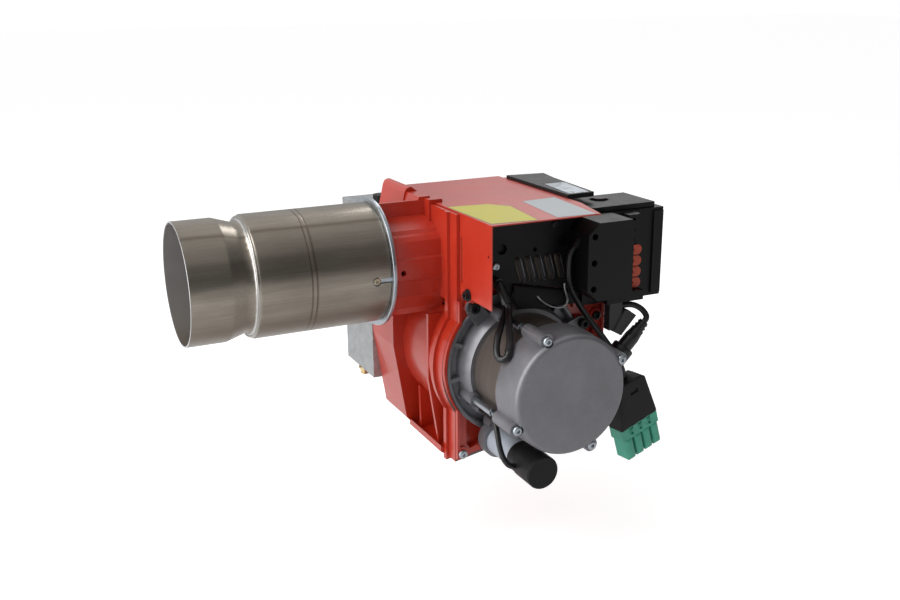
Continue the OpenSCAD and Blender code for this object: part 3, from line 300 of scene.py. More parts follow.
class Graph:
    """The node tree of one material, with short ways to add to it."""

    def __init__(self, name: str) -> None:
        """Make an empty material with a Principled shader.

        Args:
            name: The material's name.
        """
        self.material = bpy.data.materials.new(name)
        self.material.use_nodes = True
        self.tree = self.material.node_tree
        self.tree.nodes.clear()
        self.shader = self.add("ShaderNodeBsdfPrincipled")
        output = self.add("ShaderNodeOutputMaterial")
        self.link(self.shader.outputs["BSDF"], output.inputs["Surface"])
        self.texture = self.add("ShaderNodeTexCoord")
        self.place = self.texture.outputs["Object"]

    def add(self, kind: str, **settings: object) -> bpy.types.Node:
        """Add a node.

        Args:
            kind: The node's Blender type.
            **settings: Properties to set on it.

        Returns:
            The new node.
        """
        node = self.tree.nodes.new(kind)
        for key, value in settings.items():
            setattr(node, key, value)
        return node

    def link(self, source: Socket, target: Socket) -> None:
        """Join an output to an input."""
        self.tree.links.new(source, target)

    def feed(self, name: str, value: Socket | float | tuple[float, ...]) -> None:
        """Give an input of the shader a node's output or a plain value.

        Args:
            name: The input's name.
            value: What it gets.
        """
        if isinstance(value, bpy.types.NodeSocket):
            self.link(value, self.shader.inputs[name])
        else:
            self.shader.inputs[name].default_value = value

    def stretched(self, scale: Point) -> Socket:
        """Object coordinates in metres, times a scale on each axis.

        Args:
            scale: The factor on X, Y and Z.

        Returns:
            The scaled coordinates.
        """
        mapping = self.add("ShaderNodeMapping")
        mapping.inputs["Scale"].default_value = scale
        self.link(self.place, mapping.inputs["Vector"])
        return mapping.outputs["Vector"]

    def noise(self, scale: float, detail: float = 4.0, roughness: float = 0.55,
              place: Socket | None = None) -> Socket:
        """Cloudy noise between 0 and 1.

        Args:
            scale: Clouds in a metre.
            detail: Number of finer layers.
            roughness: How strong the finer layers are.
            place: Coordinates, or None for the plain Object ones.

        Returns:
            The noise value.
        """
        node = self.add("ShaderNodeTexNoise")
        node.inputs["Scale"].default_value = scale
        node.inputs["Detail"].default_value = detail
        node.inputs["Roughness"].default_value = roughness
        self.link(place or self.place, node.inputs["Vector"])
        return node.outputs["Fac"]

    def cells(self, scale: float) -> Socket:
        """A random grey on each cell of a broken pattern.

        Args:
            scale: Cells in a metre.

        Returns:
            The grey value of the cell.
        """
        node = self.add("ShaderNodeTexVoronoi")
        node.inputs["Scale"].default_value = scale
        self.link(self.place, node.inputs["Vector"])
        split = self.add("ShaderNodeSeparateColor")
        self.link(node.outputs["Color"], split.inputs[0])
        return split.outputs[0]

    def ramp(self, value: Socket, stops: list[tuple[float, Colour]]) -> Socket:
        """Turn a value into a colour.

        Args:
            value: The value.
            stops: Places between 0 and 1 with their colours.

        Returns:
            The colour.
        """
        node = self.add("ShaderNodeValToRGB")
        elements = node.color_ramp.elements
        while len(elements) < len(stops):
            elements.new(0.5)
        for element, (place, colour) in zip(elements, stops):
            element.position = place
            element.color = (*colour, 1.0)
        self.link(value, node.inputs["Fac"])
        return node.outputs["Color"]

    def spread(self, value: Socket, low: float, high: float,
               source: tuple[float, float] = (0.3, 0.7)) -> Socket:
        """Map a value's range onto another one.

        Args:
            value: The value.
            low: What the lower end becomes.
            high: What the upper end becomes.
            source: The two ends before.

        Returns:
            The mapped value.
        """
        node = self.add("ShaderNodeMapRange")
        ends = (("From Min", source[0]), ("From Max", source[1]), ("To Min", low), ("To Max", high))
        for name, number in ends:
            node.inputs[name].default_value = number
        self.link(value, node.inputs["Value"])
        return node.outputs["Result"]

    def mix(self, share: Socket, a: Socket | Colour, b: Socket | Colour) -> Socket:
        """Blend two colours.

        Args:
            share: How much of b shows.
            a: The first colour.
            b: The second colour.

        Returns:
            The blended colour.
        """
        node = self.add("ShaderNodeMix", data_type="RGBA")
        self.link(share, node.inputs["Factor"])
        for socket, colour in ((node.inputs[6], a), (node.inputs[7], b)):
            if isinstance(colour, tuple):
                socket.default_value = (*colour, 1.0)
            else:
                self.link(colour, socket)
        return node.outputs[2]

    def bump(self, height: Socket, depth_mm: float, strength: float = 1.0,
             under: Socket | None = None) -> Socket:
        """Dent the surface by a value.

        Args:
            height: The height between 0 and 1.
            depth_mm: The height of 1, in millimetres.
            strength: How much of it shows.
            under: Another bump below this one.

        Returns:
            The dented normal.
        """
        node = self.add("ShaderNodeBump")
        node.inputs["Strength"].default_value = strength
        node.inputs["Distance"].default_value = depth_mm * MM
        self.link(height, node.inputs["Height"])
        if under is not None:
            self.link(under, node.inputs["Normal"])
        return node.outputs["Normal"]

    def facing_axis(self, starts_m: float = 0.01, full_m: float = 0.03) -> Socket:
        """Near 1 where a surface faces the tube's axis, as the inside of the tube does, and 0 elsewhere.

        Args:
            starts_m: Distance from the axis where it starts, on a surface that faces it.
            full_m: Distance where it reaches 1.

        Returns:
            The share.
        """
        outwards = self.stretched((0.0, 1.0, 1.0))
        product = self.add("ShaderNodeVectorMath", operation="DOT_PRODUCT")
        self.link(outwards, product.inputs[0])
        self.link(self.texture.outputs["Normal"], product.inputs[1])
        return self.spread(product.outputs["Value"], 1.0, 0.0, (-full_m, -starts_m))

    def part(self, vector: Socket, axis: Axis) -> Socket:
        """One part of a vector.

        Args:
            vector: The vector.
            axis: The axis that it is taken along.

        Returns:
            The number along that axis.
        """
        parts = self.add("ShaderNodeSeparateXYZ")
        self.link(vector, parts.inputs[0])
        return parts.outputs[axis.name]

    def turn_from_top(self, waver: Socket, amount: float) -> Socket:
        """Angle round the tube's axis: 0 at the top, 1 at the bottom, on both sides alike.

        Args:
            waver: A value near 0.5 that bends the bands a little.
            amount: How much it bends them.

        Returns:
            |atan2(y, z)| / pi + (waver - 0.5) amount.
        """
        angle = self.add("ShaderNodeMath", operation="ARCTAN2")
        self.link(self.part(self.place, Axis.Y), angle.inputs[0])
        self.link(self.part(self.place, Axis.Z), angle.inputs[1])
        size = self.add("ShaderNodeMath", operation="ABSOLUTE")
        self.link(angle.outputs[0], size.inputs[0])
        bent = self.add("ShaderNodeMath", operation="MULTIPLY_ADD")
        bent.inputs[1].default_value = 1.0 / math.pi
        self.link(size.outputs[0], bent.inputs[0])
        self.link(self.spread(waver, -amount / 2, amount / 2, (0.0, 1.0)), bent.inputs[2])
        return bent.outputs[0]


@dataclass(frozen=True)
class Finish:
    """A plain surface with a cloudy change of colour and gloss.

    Attributes:
        name: Its name.
        colour: Its middle colour.
        roughness: Its middle roughness.
        metallic: How metallic it is.
        specular: How strongly it shines where it isn't metal.
        clouds: Clouds in a metre.
        change: How far the clouds go from the middle colour, as a share of it.
        grain: Grains in a metre.
        grain_mm: Height of the grain, or 0 where it has none.
    """

    name: str
    colour: Colour
    roughness: float = 0.5
    metallic: float = 0.0
    specular: float = 0.5
    clouds: float = 60.0
    change: float = 0.12
    grain: float = 0.0
    grain_mm: float = 0.0

    def shades(self) -> tuple[Colour, Colour]:
        """Shades of the surface.

        Returns:
            The darker and the lighter one, that the clouds run between.
        """
        dark = tuple(c * (1.0 - self.change) for c in self.colour)
        light = tuple(min(1.0, c * (1.0 + self.change)) for c in self.colour)
        return dark, light

    def make(self) -> bpy.types.Material:
        """Build the material.

        Returns:
            The Blender material.
        """
        graph = Graph(self.name)
        graph.feed("Metallic", self.metallic)
        graph.feed("Specular IOR Level", self.specular)
        self.paint(graph)
        return graph.material

    def paint(self, graph: Graph) -> None:
        """Colour, gloss and grain of the surface.

        Args:
            graph: The material's nodes.
        """
        dark, light = self.shades()
        clouds = graph.noise(self.clouds)
        graph.feed("Base Color", graph.ramp(clouds, [(0.3, dark), (0.7, light)]))
        gloss = graph.spread(clouds, self.roughness * 0.88, min(1.0, self.roughness * 1.12))
        graph.feed("Roughness", gloss)
        if self.grain_mm > 0:
            graph.feed("Normal", graph.bump(graph.noise(self.grain, 3.0), self.grain_mm))


@dataclass(frozen=True)
class GlossPaint(Finish):
    """Powder paint: a clear skin with a faint orange peel over a strong colour."""

    coat: float = 0.5
    coat_roughness: float = 0.16
    peel: float = 900.0
    peel_mm: float = 0.03
    peel_share: float = 0.35

    def paint(self, graph: Graph) -> None:
        """Paint with a coat and an orange peel, a little darker and duller in its clouds.

        Args:
            graph: The material's nodes.
        """
        dark, light = self.shades()
        clouds = graph.noise(self.clouds, 5.0)
        graph.feed("Base Color", graph.ramp(clouds, [(0.3, dark), (0.7, light)]))
        graph.feed("Coat Weight", self.coat)
        graph.feed("Coat Roughness", self.coat_roughness)
        graph.feed("Roughness", graph.spread(clouds, self.roughness * 0.8, self.roughness * 1.2))
        graph.feed("Normal", graph.bump(graph.noise(self.peel, 2.0), self.peel_mm, self.peel_share))


@dataclass(frozen=True)
class Streaked(Finish):
    """Rolled or brushed metal: fine streaks along one axis and broad bands across."""

    along: Axis = Axis.X
    across: bool = False
    streak: float = 900.0
    streak_mm: float = 0.012
    shrink: float = 0.025
    band: float = 25.0
    tint: Colour = (0.5, 0.45, 0.38)

    def lines(self) -> Point:
        """Scale of the coordinates: shrunk along the streaks, which run along the axis or square to it.

        Returns:
            The factor on X, Y and Z.
        """
        scale = [self.shrink if self.across else 1.0] * 3
        scale[self.along.value] = 1.0 if self.across else self.shrink
        return tuple(scale)

    def paint(self, graph: Graph) -> None:
        """Streaks are noise stretched along the axis, mixed with broad bands.

        Args:
            graph: The material's nodes.
        """
        place = graph.stretched(self.lines())
        streaks = graph.noise(self.streak, 3.0, 0.6, place)
        bands = graph.noise(self.band, 3.0, 0.6, place)
        dark, light = self.shades()
        base = graph.ramp(streaks, [(0.25, dark), (0.75, light)])
        banded = graph.mix(graph.spread(bands, 0.0, 0.85), base, self.tint)
        graph.feed("Base Color", self.tinted(graph, banded))
        graph.feed("Roughness", graph.spread(bands, self.roughness * 0.8, self.roughness * 1.25))
        graph.feed("Normal", graph.bump(streaks, self.streak_mm))

    def tinted(self, graph: Graph, colour: Socket) -> Socket:
        """Last change of the colour; a plain streaked metal has none."""
        return colour


@dataclass(frozen=True)
class HeatedTube(Streaked):
    """Rolled stainless tube: painted reflection bands, smoky patches and painted shade over the grooves
    outside, a painted highlight on the rim at the mouth and a dull inside.

    Attributes:
        soot: Colour of the inside.
        soot_metal: How metallic the inside looks.
        smoke_and_painted_shade: Colour of the smoky patches and of the soot's smoke, and the dark colour of
            the painted reflection bands and of the painted shade in the grooves.
        painted_rim_highlight: Colour of the painted highlight on the rim at the mouth.
        soot_smoke: Share of smoke on the soot above and below.
        waver: How much the bands bend.
        waver_clouds: Bends in a metre.
        patch: Smoky patches in a metre.
        patch_shape: Scale of the coordinates that stretches the patches along the tube.
        patch_smoke: Most of the smoke in a patch.
        grooves: Places of the rolled grooves along the tube.
        groove_edge: Half the width of a groove's shade.
        groove_floor: Half the width of its darkest part.
        groove_painted_shade: Share of dark colour in a groove, as painted shade.
        painted_reflection_bands: Places from the top, 0, to the bottom, 1, with their share of dark colour;
            these bands are painted reflections along the tube.
    """

    soot: Colour = (0.30, 0.29, 0.285)
    soot_metal: float = 0.35
    smoke_and_painted_shade: Colour = (0.13, 0.105, 0.08)
    painted_rim_highlight: Colour = (0.85, 0.86, 0.90)
    soot_smoke: tuple[float, float] = (0.1, 0.85)
    waver: float = 0.03
    waver_clouds: float = 14.0
    patch: float = 16.0
    patch_shape: Point = (0.5, 1.0, 1.0)
    patch_smoke: float = 0.45
    grooves: tuple[float, ...] = (-75.6, -71.0)
    groove_edge: float = 1.2
    groove_floor: float = 0.5
    groove_painted_shade: float = 0.75
    painted_reflection_bands: Pairs = ((0.0, 0.0), (0.165, 0.1), (0.185, 0.7), (0.2, 0.25), (0.31, 0.05), (0.345, 0.3),
                     (0.39, 0.1), (0.44, 0.0), (0.62, 0.1), (0.72, 0.5))

    def painted_shade_in_grooves(self, graph: Graph) -> Socket:
        """Painted shade along the tube: a short trapezium of dark colour over each groove.

        Args:
            graph: The material's nodes.

        Returns:
            Its share.
        """
        shade = ((-self.groove_edge, 0.0), (-self.groove_floor, self.groove_painted_shade),
                 (self.groove_floor, self.groove_painted_shade), (self.groove_edge, 0.0))
        stops = [(groove + step, share) for groove in self.grooves for step, share in shade]
        start = stops[0][0] - 1.0
        end = stops[-1][0] + 1.0
        along = graph.spread(graph.part(graph.place, Axis.X), 0.0, 1.0, (start * MM, end * MM))
        return graph.ramp(along, greys([((x - start) / (end - start), share) for x, share in stops]))

    def tinted(self, graph: Graph, colour: Socket) -> Socket:
        """Painted reflection bands by the angle from the top, smoke in patches, painted shade over the
        grooves, soot inside, and a painted highlight on the rim.

        Args:
            graph: The material's nodes.
            colour: The streaked metal.

        Returns:
            The colour of the whole tube.
        """
        turn = graph.turn_from_top(graph.noise(self.waver_clouds, 3.0), self.waver)
        # Painted reflections: dark bands by the angle from the top of the tube.
        banded = graph.mix(graph.ramp(turn, greys(self.painted_reflection_bands)), colour, self.smoke_and_painted_shade)
        patches = graph.noise(self.patch, 5.0, 0.6, graph.stretched(self.patch_shape))
        smoked = graph.mix(graph.spread(patches, 0.0, self.patch_smoke, (0.42, 0.7)), banded, self.smoke_and_painted_shade)
        # Painted shade: darker over each rolled groove.
        outside = graph.mix(self.painted_shade_in_grooves(graph), smoked, self.smoke_and_painted_shade)
        inside = graph.facing_axis()
        graph.feed("Metallic", graph.spread(inside, 1.0, self.soot_metal, (0.0, 1.0)))
        sooty = graph.mix(graph.spread(turn, *self.soot_smoke, (0.5, 0.95)), self.soot, self.smoke_and_painted_shade)
        # Painted highlight: surfaces that face -X, the rim at the mouth, get a bright colour.
        rim = graph.spread(graph.part(graph.texture.outputs["Normal"], Axis.X), 1.0, 0.0, (-0.9, -0.5))
        return graph.mix(rim, graph.mix(inside, outside, sooty), self.painted_rim_highlight)


@dataclass(frozen=True)
class PaintedGlintPlastic(Finish):
    """Black plastic with painted highlights and painted lit faces along the sides of its pressed ribs.

    Attributes:
        left: Painted light and shade from a surface that faces -X, 0, on: a painted lit face, then dark.
        middle: Where the finish's own colour is, with 1 for a surface that faces +X.
        right: Painted highlights beyond the middle, on sides that turn towards +X, then dark.
    """

    left: tuple[tuple[float, Colour], ...] = ((0.0, (0.004, 0.004, 0.004)), (0.06, (0.14, 0.12, 0.09)),
                                              (0.16, (0.09, 0.075, 0.055)), (0.23, (0.018, 0.015, 0.012)))
    middle: float = 0.63
    right: tuple[tuple[float, Colour], ...] = ((0.68, (0.60, 0.62, 0.74)), (0.74, (0.50, 0.52, 0.64)),
                                               (0.79, (0.003, 0.003, 0.004)))

    def paint(self, graph: Graph) -> None:
        """Painted highlight and shade: colour by how far the surface turns to the side.

        Args:
            graph: The material's nodes.
        """
        # Painted light: lit faces and highlights come from the normal's X, not from the lamps.
        side = graph.spread(graph.part(graph.texture.outputs["Normal"], Axis.X), 0.0, 1.0, (-1.0, 1.0))
        graph.feed("Base Color", graph.ramp(side, [*self.left, (self.middle, self.colour), *self.right]))
        graph.feed("Roughness", self.roughness)


@dataclass(frozen=True)
class CastMetal(Finish):
    """Die cast aluminium: mottled grey with a fine grain and small dark pits."""

    mottle: float = 35.0
    mottle_mm: float = 0.12
    pit: float = 700.0
    sand: float = 1600.0
    sand_mm: float = 0.05

    def paint(self, graph: Graph) -> None:
        """Mottle is two sizes of noise mixed, and pits are the low end of a fine one.

        Args:
            graph: The material's nodes.
        """
        dark, light = self.shades()
        broad = graph.noise(self.mottle, 6.0, 0.62)
        base = graph.ramp(broad, [(0.3, dark), (0.72, light)])
        speck = graph.spread(graph.noise(self.pit, 2.0), 0.55, 0.0, (0.24, 0.36))
        graph.feed("Base Color", graph.mix(speck, base, tuple(c * 0.4 for c in self.colour)))
        graph.feed("Roughness", graph.spread(broad, self.roughness * 0.85, self.roughness * 1.2))
        sand = graph.bump(graph.noise(self.sand, 3.0), self.sand_mm, 0.5)
        graph.feed("Normal", graph.bump(broad, self.mottle_mm, 0.4, sand))


@dataclass(frozen=True)
class Spangled(Finish):
    """Galvanised sheet: grey zinc flakes, each with its own shade and gloss."""

    flake: float = 160.0
    wave: float = 300.0
    wave_mm: float = 0.02

    def paint(self, graph: Graph) -> None:
        """Each flake is a cell with a random grey, on a faintly wavy sheet.

        Args:
            graph: The material's nodes.
        """
        dark, light = self.shades()
        flakes = graph.cells(self.flake)
        graph.feed("Base Color", graph.ramp(flakes, [(0.0, dark), (1.0, light)]))
        gloss = graph.spread(flakes, self.roughness * 0.75, self.roughness * 1.25, (0.0, 1.0))
        graph.feed("Roughness", gloss)
        graph.feed("Normal", graph.bump(graph.noise(self.wave, 3.0), self.wave_mm))


FINISH_LIST: tuple[Finish, ...] = (
    HeatedTube("stainless", (0.39, 0.352, 0.30), 0.32, 1.0, change=0.16, tint=(0.22, 0.19, 0.158)),
    Finish("zinc", (0.46, 0.50, 0.54), 0.30, 1.0, clouds=90.0, change=0.14),
    Finish("brass_steel", (0.42, 0.37, 0.27), 0.35, 1.0),
    Finish("polished", (0.36, 0.34, 0.31), 0.24, 1.0),
    Finish("brass", (0.72, 0.55, 0.28), 0.3, 1.0),
    Streaked("steel", (0.5, 0.5, 0.51), 0.3, 1.0, along=Axis.Y, tint=(0.4, 0.4, 0.4)),
    Finish("black_steel", (0.018, 0.018, 0.02), 0.35, 0.3, 0.4),
    Streaked("stator_steel", (0.17, 0.145, 0.13), 0.5, 0.7, along=Axis.Y, across=True,
             tint=(0.11, 0.088, 0.075)),
    Spangled("galvanised", (0.42, 0.43, 0.44), 0.42, 0.9, change=0.16),
    Finish("copper", (0.72, 0.40, 0.25), 0.3, 1.0),
    CastMetal("cast_aluminium", (0.235, 0.235, 0.252), 0.46, 0.7, change=0.15),
    GlossPaint("red_paint", (0.46, 0.024, 0.007), 0.38, clouds=18.0, change=0.07),
    Finish("black_plastic", (0.006, 0.006, 0.0065), 0.45, specular=0.25, grain=1800.0, grain_mm=0.03),
    # Black plastic of the louvre hoods, with painted highlights and lit faces on their sides.
    PaintedGlintPlastic("gloss_plastic", (0.022, 0.019, 0.016), 0.5, specular=0.4),
    Finish("grey_plastic", (0.035, 0.035, 0.036), 0.5, specular=0.4, grain=1800.0, grain_mm=0.03),
    Finish("red_plastic", (0.022, 0.012, 0.012), 0.25),
    Finish("orange_plastic", (0.50, 0.055, 0.015), 0.38, grain=900.0, grain_mm=0.01),
    Finish("green_plastic", (0.075, 0.42, 0.29), 0.42, grain=1500.0, grain_mm=0.02),
    Finish("white_plastic", (0.34, 0.37, 0.42), 0.45),
    Finish("ceramic", (0.75, 0.73, 0.68), 0.2),
    Finish("gasket", (0.12, 0.12, 0.12), 0.8),
    Finish("cable", (0.008, 0.008, 0.009), 0.33, specular=0.5, grain=1200.0, grain_mm=0.02),
    Finish("yellow_paper", (0.50, 0.45, 0.07), 0.5, specular=0.3, clouds=40.0, change=0.05),
    Finish("grey_paper", (0.33, 0.36, 0.38), 0.4, clouds=40.0, change=0.05),
)
FINISHES: dict[str, Finish] = {finish.name: finish for finish in FINISH_LIST}


@dataclass(frozen=True)
class Edge:
    """How a CAD node's edges are softened: width, least angle between faces in degrees, and steps."""

    width: float = 0.4
    angle: float = 35.0
    segments: int = 2


EDGES: dict[str, Edge] = {
    "cover": Edge(0.12, 50.0, 1),
    "blast_tube": Edge(0.15, 50.0, 1),
    "fan_housing": Edge(1.0, 24.0, 3),
    "motor_plate": Edge(0.9, 30.0, 3),
    "motor_flange": Edge(0.8, 30.0, 3),
    "end_shield": Edge(0.9, 30.0, 3),
    "control_unit": Edge(1.0, 40.0, 3),
    "control_lid": Edge(0.8, 40.0, 3),
    "terminal_block": Edge(0.7, 40.0, 3),
    "mains_plug": Edge(1.0, 35.0, 3),
    "plug_hood": Edge(1.2, 35.0, 3),
    "plug_insert": Edge(0.5, 40.0, 2),
    "side_connector": Edge(0.8, 35.0, 3),
    "electrics_panel": Edge(0.4, 40.0, 2),
    "ignition_transformer": Edge(1.0, 40.0, 3),
    "pump_body": Edge(1.0, 35.0, 3),
    "pump_cover": Edge(0.8, 35.0, 3),
    "intake_box": Edge(0.9, 40.0, 3),
    "capacitor_cap": Edge(0.7, 35.0, 3),
}


# Ways to dress and add pieces


@dataclass
class Workshop:
    """The loaded frame with the finishes made once, and the ways to add pieces to it."""

    frame: dict
    made: dict[str, bpy.types.Material] = field(default_factory=dict)

    def material(self, finish: str) -> bpy.types.Material:
        """The material of one finish, made when it is first asked for.

        Args:
            finish: The finish's name.

        Returns:
            The Blender material.
        """
        if finish not in self.made:
            self.made[finish] = FINISHES[finish].make()
        return self.made[finish]

    def node(self, name: str) -> bpy.types.Object:
        """The object of a CAD node."""
        return self.frame["nodes"][name]

    def slot_of(self, node: str) -> str:
        """The record's slot of a CAD node."""
        subparts = self.frame["record"]["subparts"]
        return next(part["material_slot"] for part in subparts if part["node"] == node)

    def dress(self, node: str) -> None:
        """Give a CAD node the finish of its slot and soft edges.

        Args:
            node: The CAD node.
        """
        thing = self.node(node)
        finish = self.slot_of(node)
        thing.data.materials.clear()
        thing.data.materials.append(self.material(finish))
        weld = thing.modifiers.new("weld", "WELD")
        weld.merge_threshold = WELD_M
        edge = EDGES.get(node, Edge())
        soft = thing.modifiers.new("soft_edges", "BEVEL")
        soft.width = edge.width * MM
        soft.segments = edge.segments
        soft.limit_method = "ANGLE"
        soft.angle_limit = math.radians(edge.angle)
        soft.use_clamp_overlap = True
        smooth = thing.modifiers.new("shading", "WEIGHTED_NORMAL")
        smooth.keep_sharp = True
        LOG.info("%s: %s", node, finish)

    def add(self, name: str, grids: list[Grid], finish: str, like: str,
            instead: bool = False) -> bpy.types.Object:
        """Make one piece out of grids.

        Args:
            name: Its name.
            grids: Its surfaces.
            finish: Its finish.
            like: The CAD node that it belongs to: it rides on that node's body.
            instead: Whether it takes the CAD node's place.

        Returns:
            The piece.
        """
        faces: list[tuple[int, ...]] = []
        count = 0
        for grid in grids:
            faces += grid.faces(count)
            count += grid.points.shape[0] * grid.points.shape[1]
        mesh = bpy.data.meshes.new(name)
        mesh.from_pydata((np.vstack([g.points.reshape(-1, 3) for g in grids]) * MM).tolist(), [], faces)
        skin = bmesh.new()
        skin.from_mesh(mesh)
        bmesh.ops.recalc_face_normals(skin, faces=skin.faces)
        skin.to_mesh(mesh)
        skin.free()
        mesh.shade_smooth()
        mesh.set_sharp_from_angle(angle=math.radians(SHARP_DEGREES))
        mesh.materials.append(self.material(finish))
        piece = bpy.data.objects.new(name, mesh)
        bpy.context.scene.collection.objects.link(piece)
        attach(piece, self.node(like)["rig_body"])
        if instead:
            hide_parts(like)
        LOG.info("%s: %d points, %d faces", name, count, len(faces))
        return piece


# Leads


@dataclass(frozen=True)
class Lead:
    """One free cord: its CAD node, its radius and the points it runs through."""

    node: str
    radius: float
    route: tuple[Point, ...]
    far_end: FarEnd = FarEnd.OBJECT
    lay: str = "hanging"
    carries: tuple[str, ...] = ()

    def build(self, shop: Workshop) -> bpy.types.Object:
        """Args:
            shop: The workshop.

        Returns:
            The cord.
        """
        path = smooth_path(behind_ring(list(self.route)))
        skin = Grid(carried(path, circle(self.radius)))
        piece = shop.add(self.node + "_round", [skin], "cable", self.node, instead=True)
        [shop.node(name) for name in self.carries]
        return piece


MAINS_ROUTE = ((157, -112, 20), (154.8, -112, 17.6), (153, -112, 14.2), (152, -112, 10),
               (151.6, -112, 3), (151.7, -112, -5), (153, -112, -14), (157, -112, -24), (163, -113, -35),
               (170, -114, -45.5), (177, -116, -55.5), (184, -118, -65), (190, -120.5, -74),
               (195.5, -123, -82.5), (200, -125, -91), (203.4, -126.4, -98), (206.3, -127, -104.4),
               (209, -127, -114))
LOOP_ROUTE = ((85, -115.1, -24.1), (85.4, -116.2, -26.2), (85, -118.2, -28.8), (83.6, -120.8, -31),
              (81.6, -124, -33.2), (79.6, -128, -36.2), (77.3, -133.1, -39.9), (74.5, -139.1, -44),
              (71.3, -145.2, -48), (69.2, -149.3, -50.6), (65.6, -153, -54.2), (64.2, -155.6, -55.9),
              (62.5, -156.2, -58.8), (59.9, -155.1, -60.7), (57.9, -152.4, -61.2), (57.2, -149.2, -60.2),
              (57.9, -145, -56.2), (60.9, -140, -51.2), (65.1, -134.5, -46.1), (70.7, -128.2, -41.8),
              (76.8, -121.4, -38.2), (82.6, -114.5, -35), (87.5, -108, -31.8), (90.2, -103, -28.6),
              (91.9, -98.8, -25.4), (92, -95.3, -25.2))
MOTOR_ROUTE = ((216.3, -105.5, -46.2), (220.3, -105.5, -46.2), (225.2, -106, -46.2), (229.8, -107, -46.9),
               (234, -108.6, -48.7), (237.6, -110.6, -51.4), (240.2, -112.6, -54.9), (241.4, -114.1, -58.4),
               (240.5, -114.7, -61), (239.1, -114.3, -62.9))
CAPACITOR_ROUTE = ((66.5, -100.3, -130), (66.3, -106, -130), (65.6, -114, -129.6), (64.4, -122, -129),
                   (62.9, -129.5, -128.9), (61.9, -135.5, -130.4), (61.3, -140.3, -134.2),
                   (61, -143.4, -139.6), (61, -146, -146.4), (61.4, -149.2, -153), (62.6, -152.6, -158.6),
                   (65.2, -155, -162.8), (68.4, -156, -164.8), (71, -156, -165))


@dataclass
class Leads:
    """The four leads that hang free on the motor's side."""

    all: tuple[Lead, ...] = (
        Lead("mains_lead", 2.9, MAINS_ROUTE, FarEnd.PLUG, carries=("plug_hood", "plug_insert")),
        Lead("loop_lead", 3.2, LOOP_ROUTE),
        Lead("motor_lead", 3.0, MOTOR_ROUTE),
        Lead("capacitor_lead", 2.6, CAPACITOR_ROUTE),
    )

    def build(self, shop: Workshop) -> None:
        """Build every lead."""
        for lead in self.all:
            lead.build(shop)


# Screws


@dataclass(frozen=True)
class Screw:
    """A screw with a domed or straight head, a lobed recess and a threaded shank.

    Attributes:
        head_r: Radius of the head.
        head_h: Height of the head.
        shank_r: Radius of the shank.
        shank_l: Length of the shank.
        recess_r: Middle radius of the recess.
        recess_h: Depth of the recess.
        dome: Height of the head's rounding.
        thread_l: Length from the tip to the thread's end.
        thread_from: Length from the tip to its start.
        pitch: Its pitch.
        thread_h: Its depth, as a share of the pitch.
        lobe: How far the recess's lobes reach out, as a share of its radius.
        tip: Width of the chamfer at the tip.
        neck: Where the shank's last row is, below the seat.
        edge: Width of the chamfer round the seat.
        land: Width of the flat ring round the recess.
        mouth: Where the recess's wall starts, below the top.
        taper: Radius of the recess's floor, as a share of its middle radius.
        point: Radius and depth of the hollow in the floor.
    """

    head_r: float
    head_h: float
    shank_r: float
    shank_l: float
    recess_r: float
    recess_h: float
    dome: float = 0.4
    thread_l: float = 10.0
    thread_from: float = 1.2
    pitch: float = 0.8
    thread_h: float = 0.3
    lobe: float = 0.16
    tip: float = 0.8
    neck: float = 0.1
    edge: float = 0.3
    land: float = 0.4
    mouth: float = 0.12
    taper: float = 0.95
    point: float = 0.3

    def profile(self) -> list[tuple[float, float, float]]:
        """Outline from the shank's tip, over the head, down to the recess's floor.

        The dome is a quarter of an ellipse: r = e + (R - e) cos t, s = h - d + d sin t, with e the outer
        radius of the flat ring round the recess.

        Returns:
            Radius, place and ripple of each row.
        """
        r = self.shank_r
        root = r - self.thread_h * self.pitch
        rows = [(r - self.tip, -self.shank_l, 0.0), (r, -self.shank_l + self.tip, 0.0)]
        for s in np.arange(-self.shank_l + self.thread_from, -self.shank_l + self.thread_l, self.pitch):
            rows += [(root, s, 0.0), (r, s + self.pitch / 2, 0.0)]
        rows += [(r, -self.neck, 0.0), (self.head_r - self.edge, 0.0, 0.0), (self.head_r, self.edge, 0.0)]
        e = self.recess_r * (1 + self.lobe) + self.land
        for t in np.linspace(0.0, np.pi / 2, 7):
            rows.append((e + (self.head_r - e) * np.cos(t), self.head_h - self.dome * (1 - np.sin(t)), 0.0))
        wave = self.recess_r * self.lobe
        floor = self.head_h - self.recess_h
        rows += [(self.recess_r, self.head_h - self.mouth, wave), (self.recess_r * self.taper, floor, wave),
                 (self.point, floor - self.point, 0.0)]
        return rows

    def at(self, place: Point, way: Point = NEAR) -> Grid:
        """The screw with its head's seat at a place.

        Args:
            place: Centre of the seat, in the frame.
            way: Direction that the head points in.

        Returns:
            Its surface.
        """
        return Grid(spun(self.profile(), place, way))


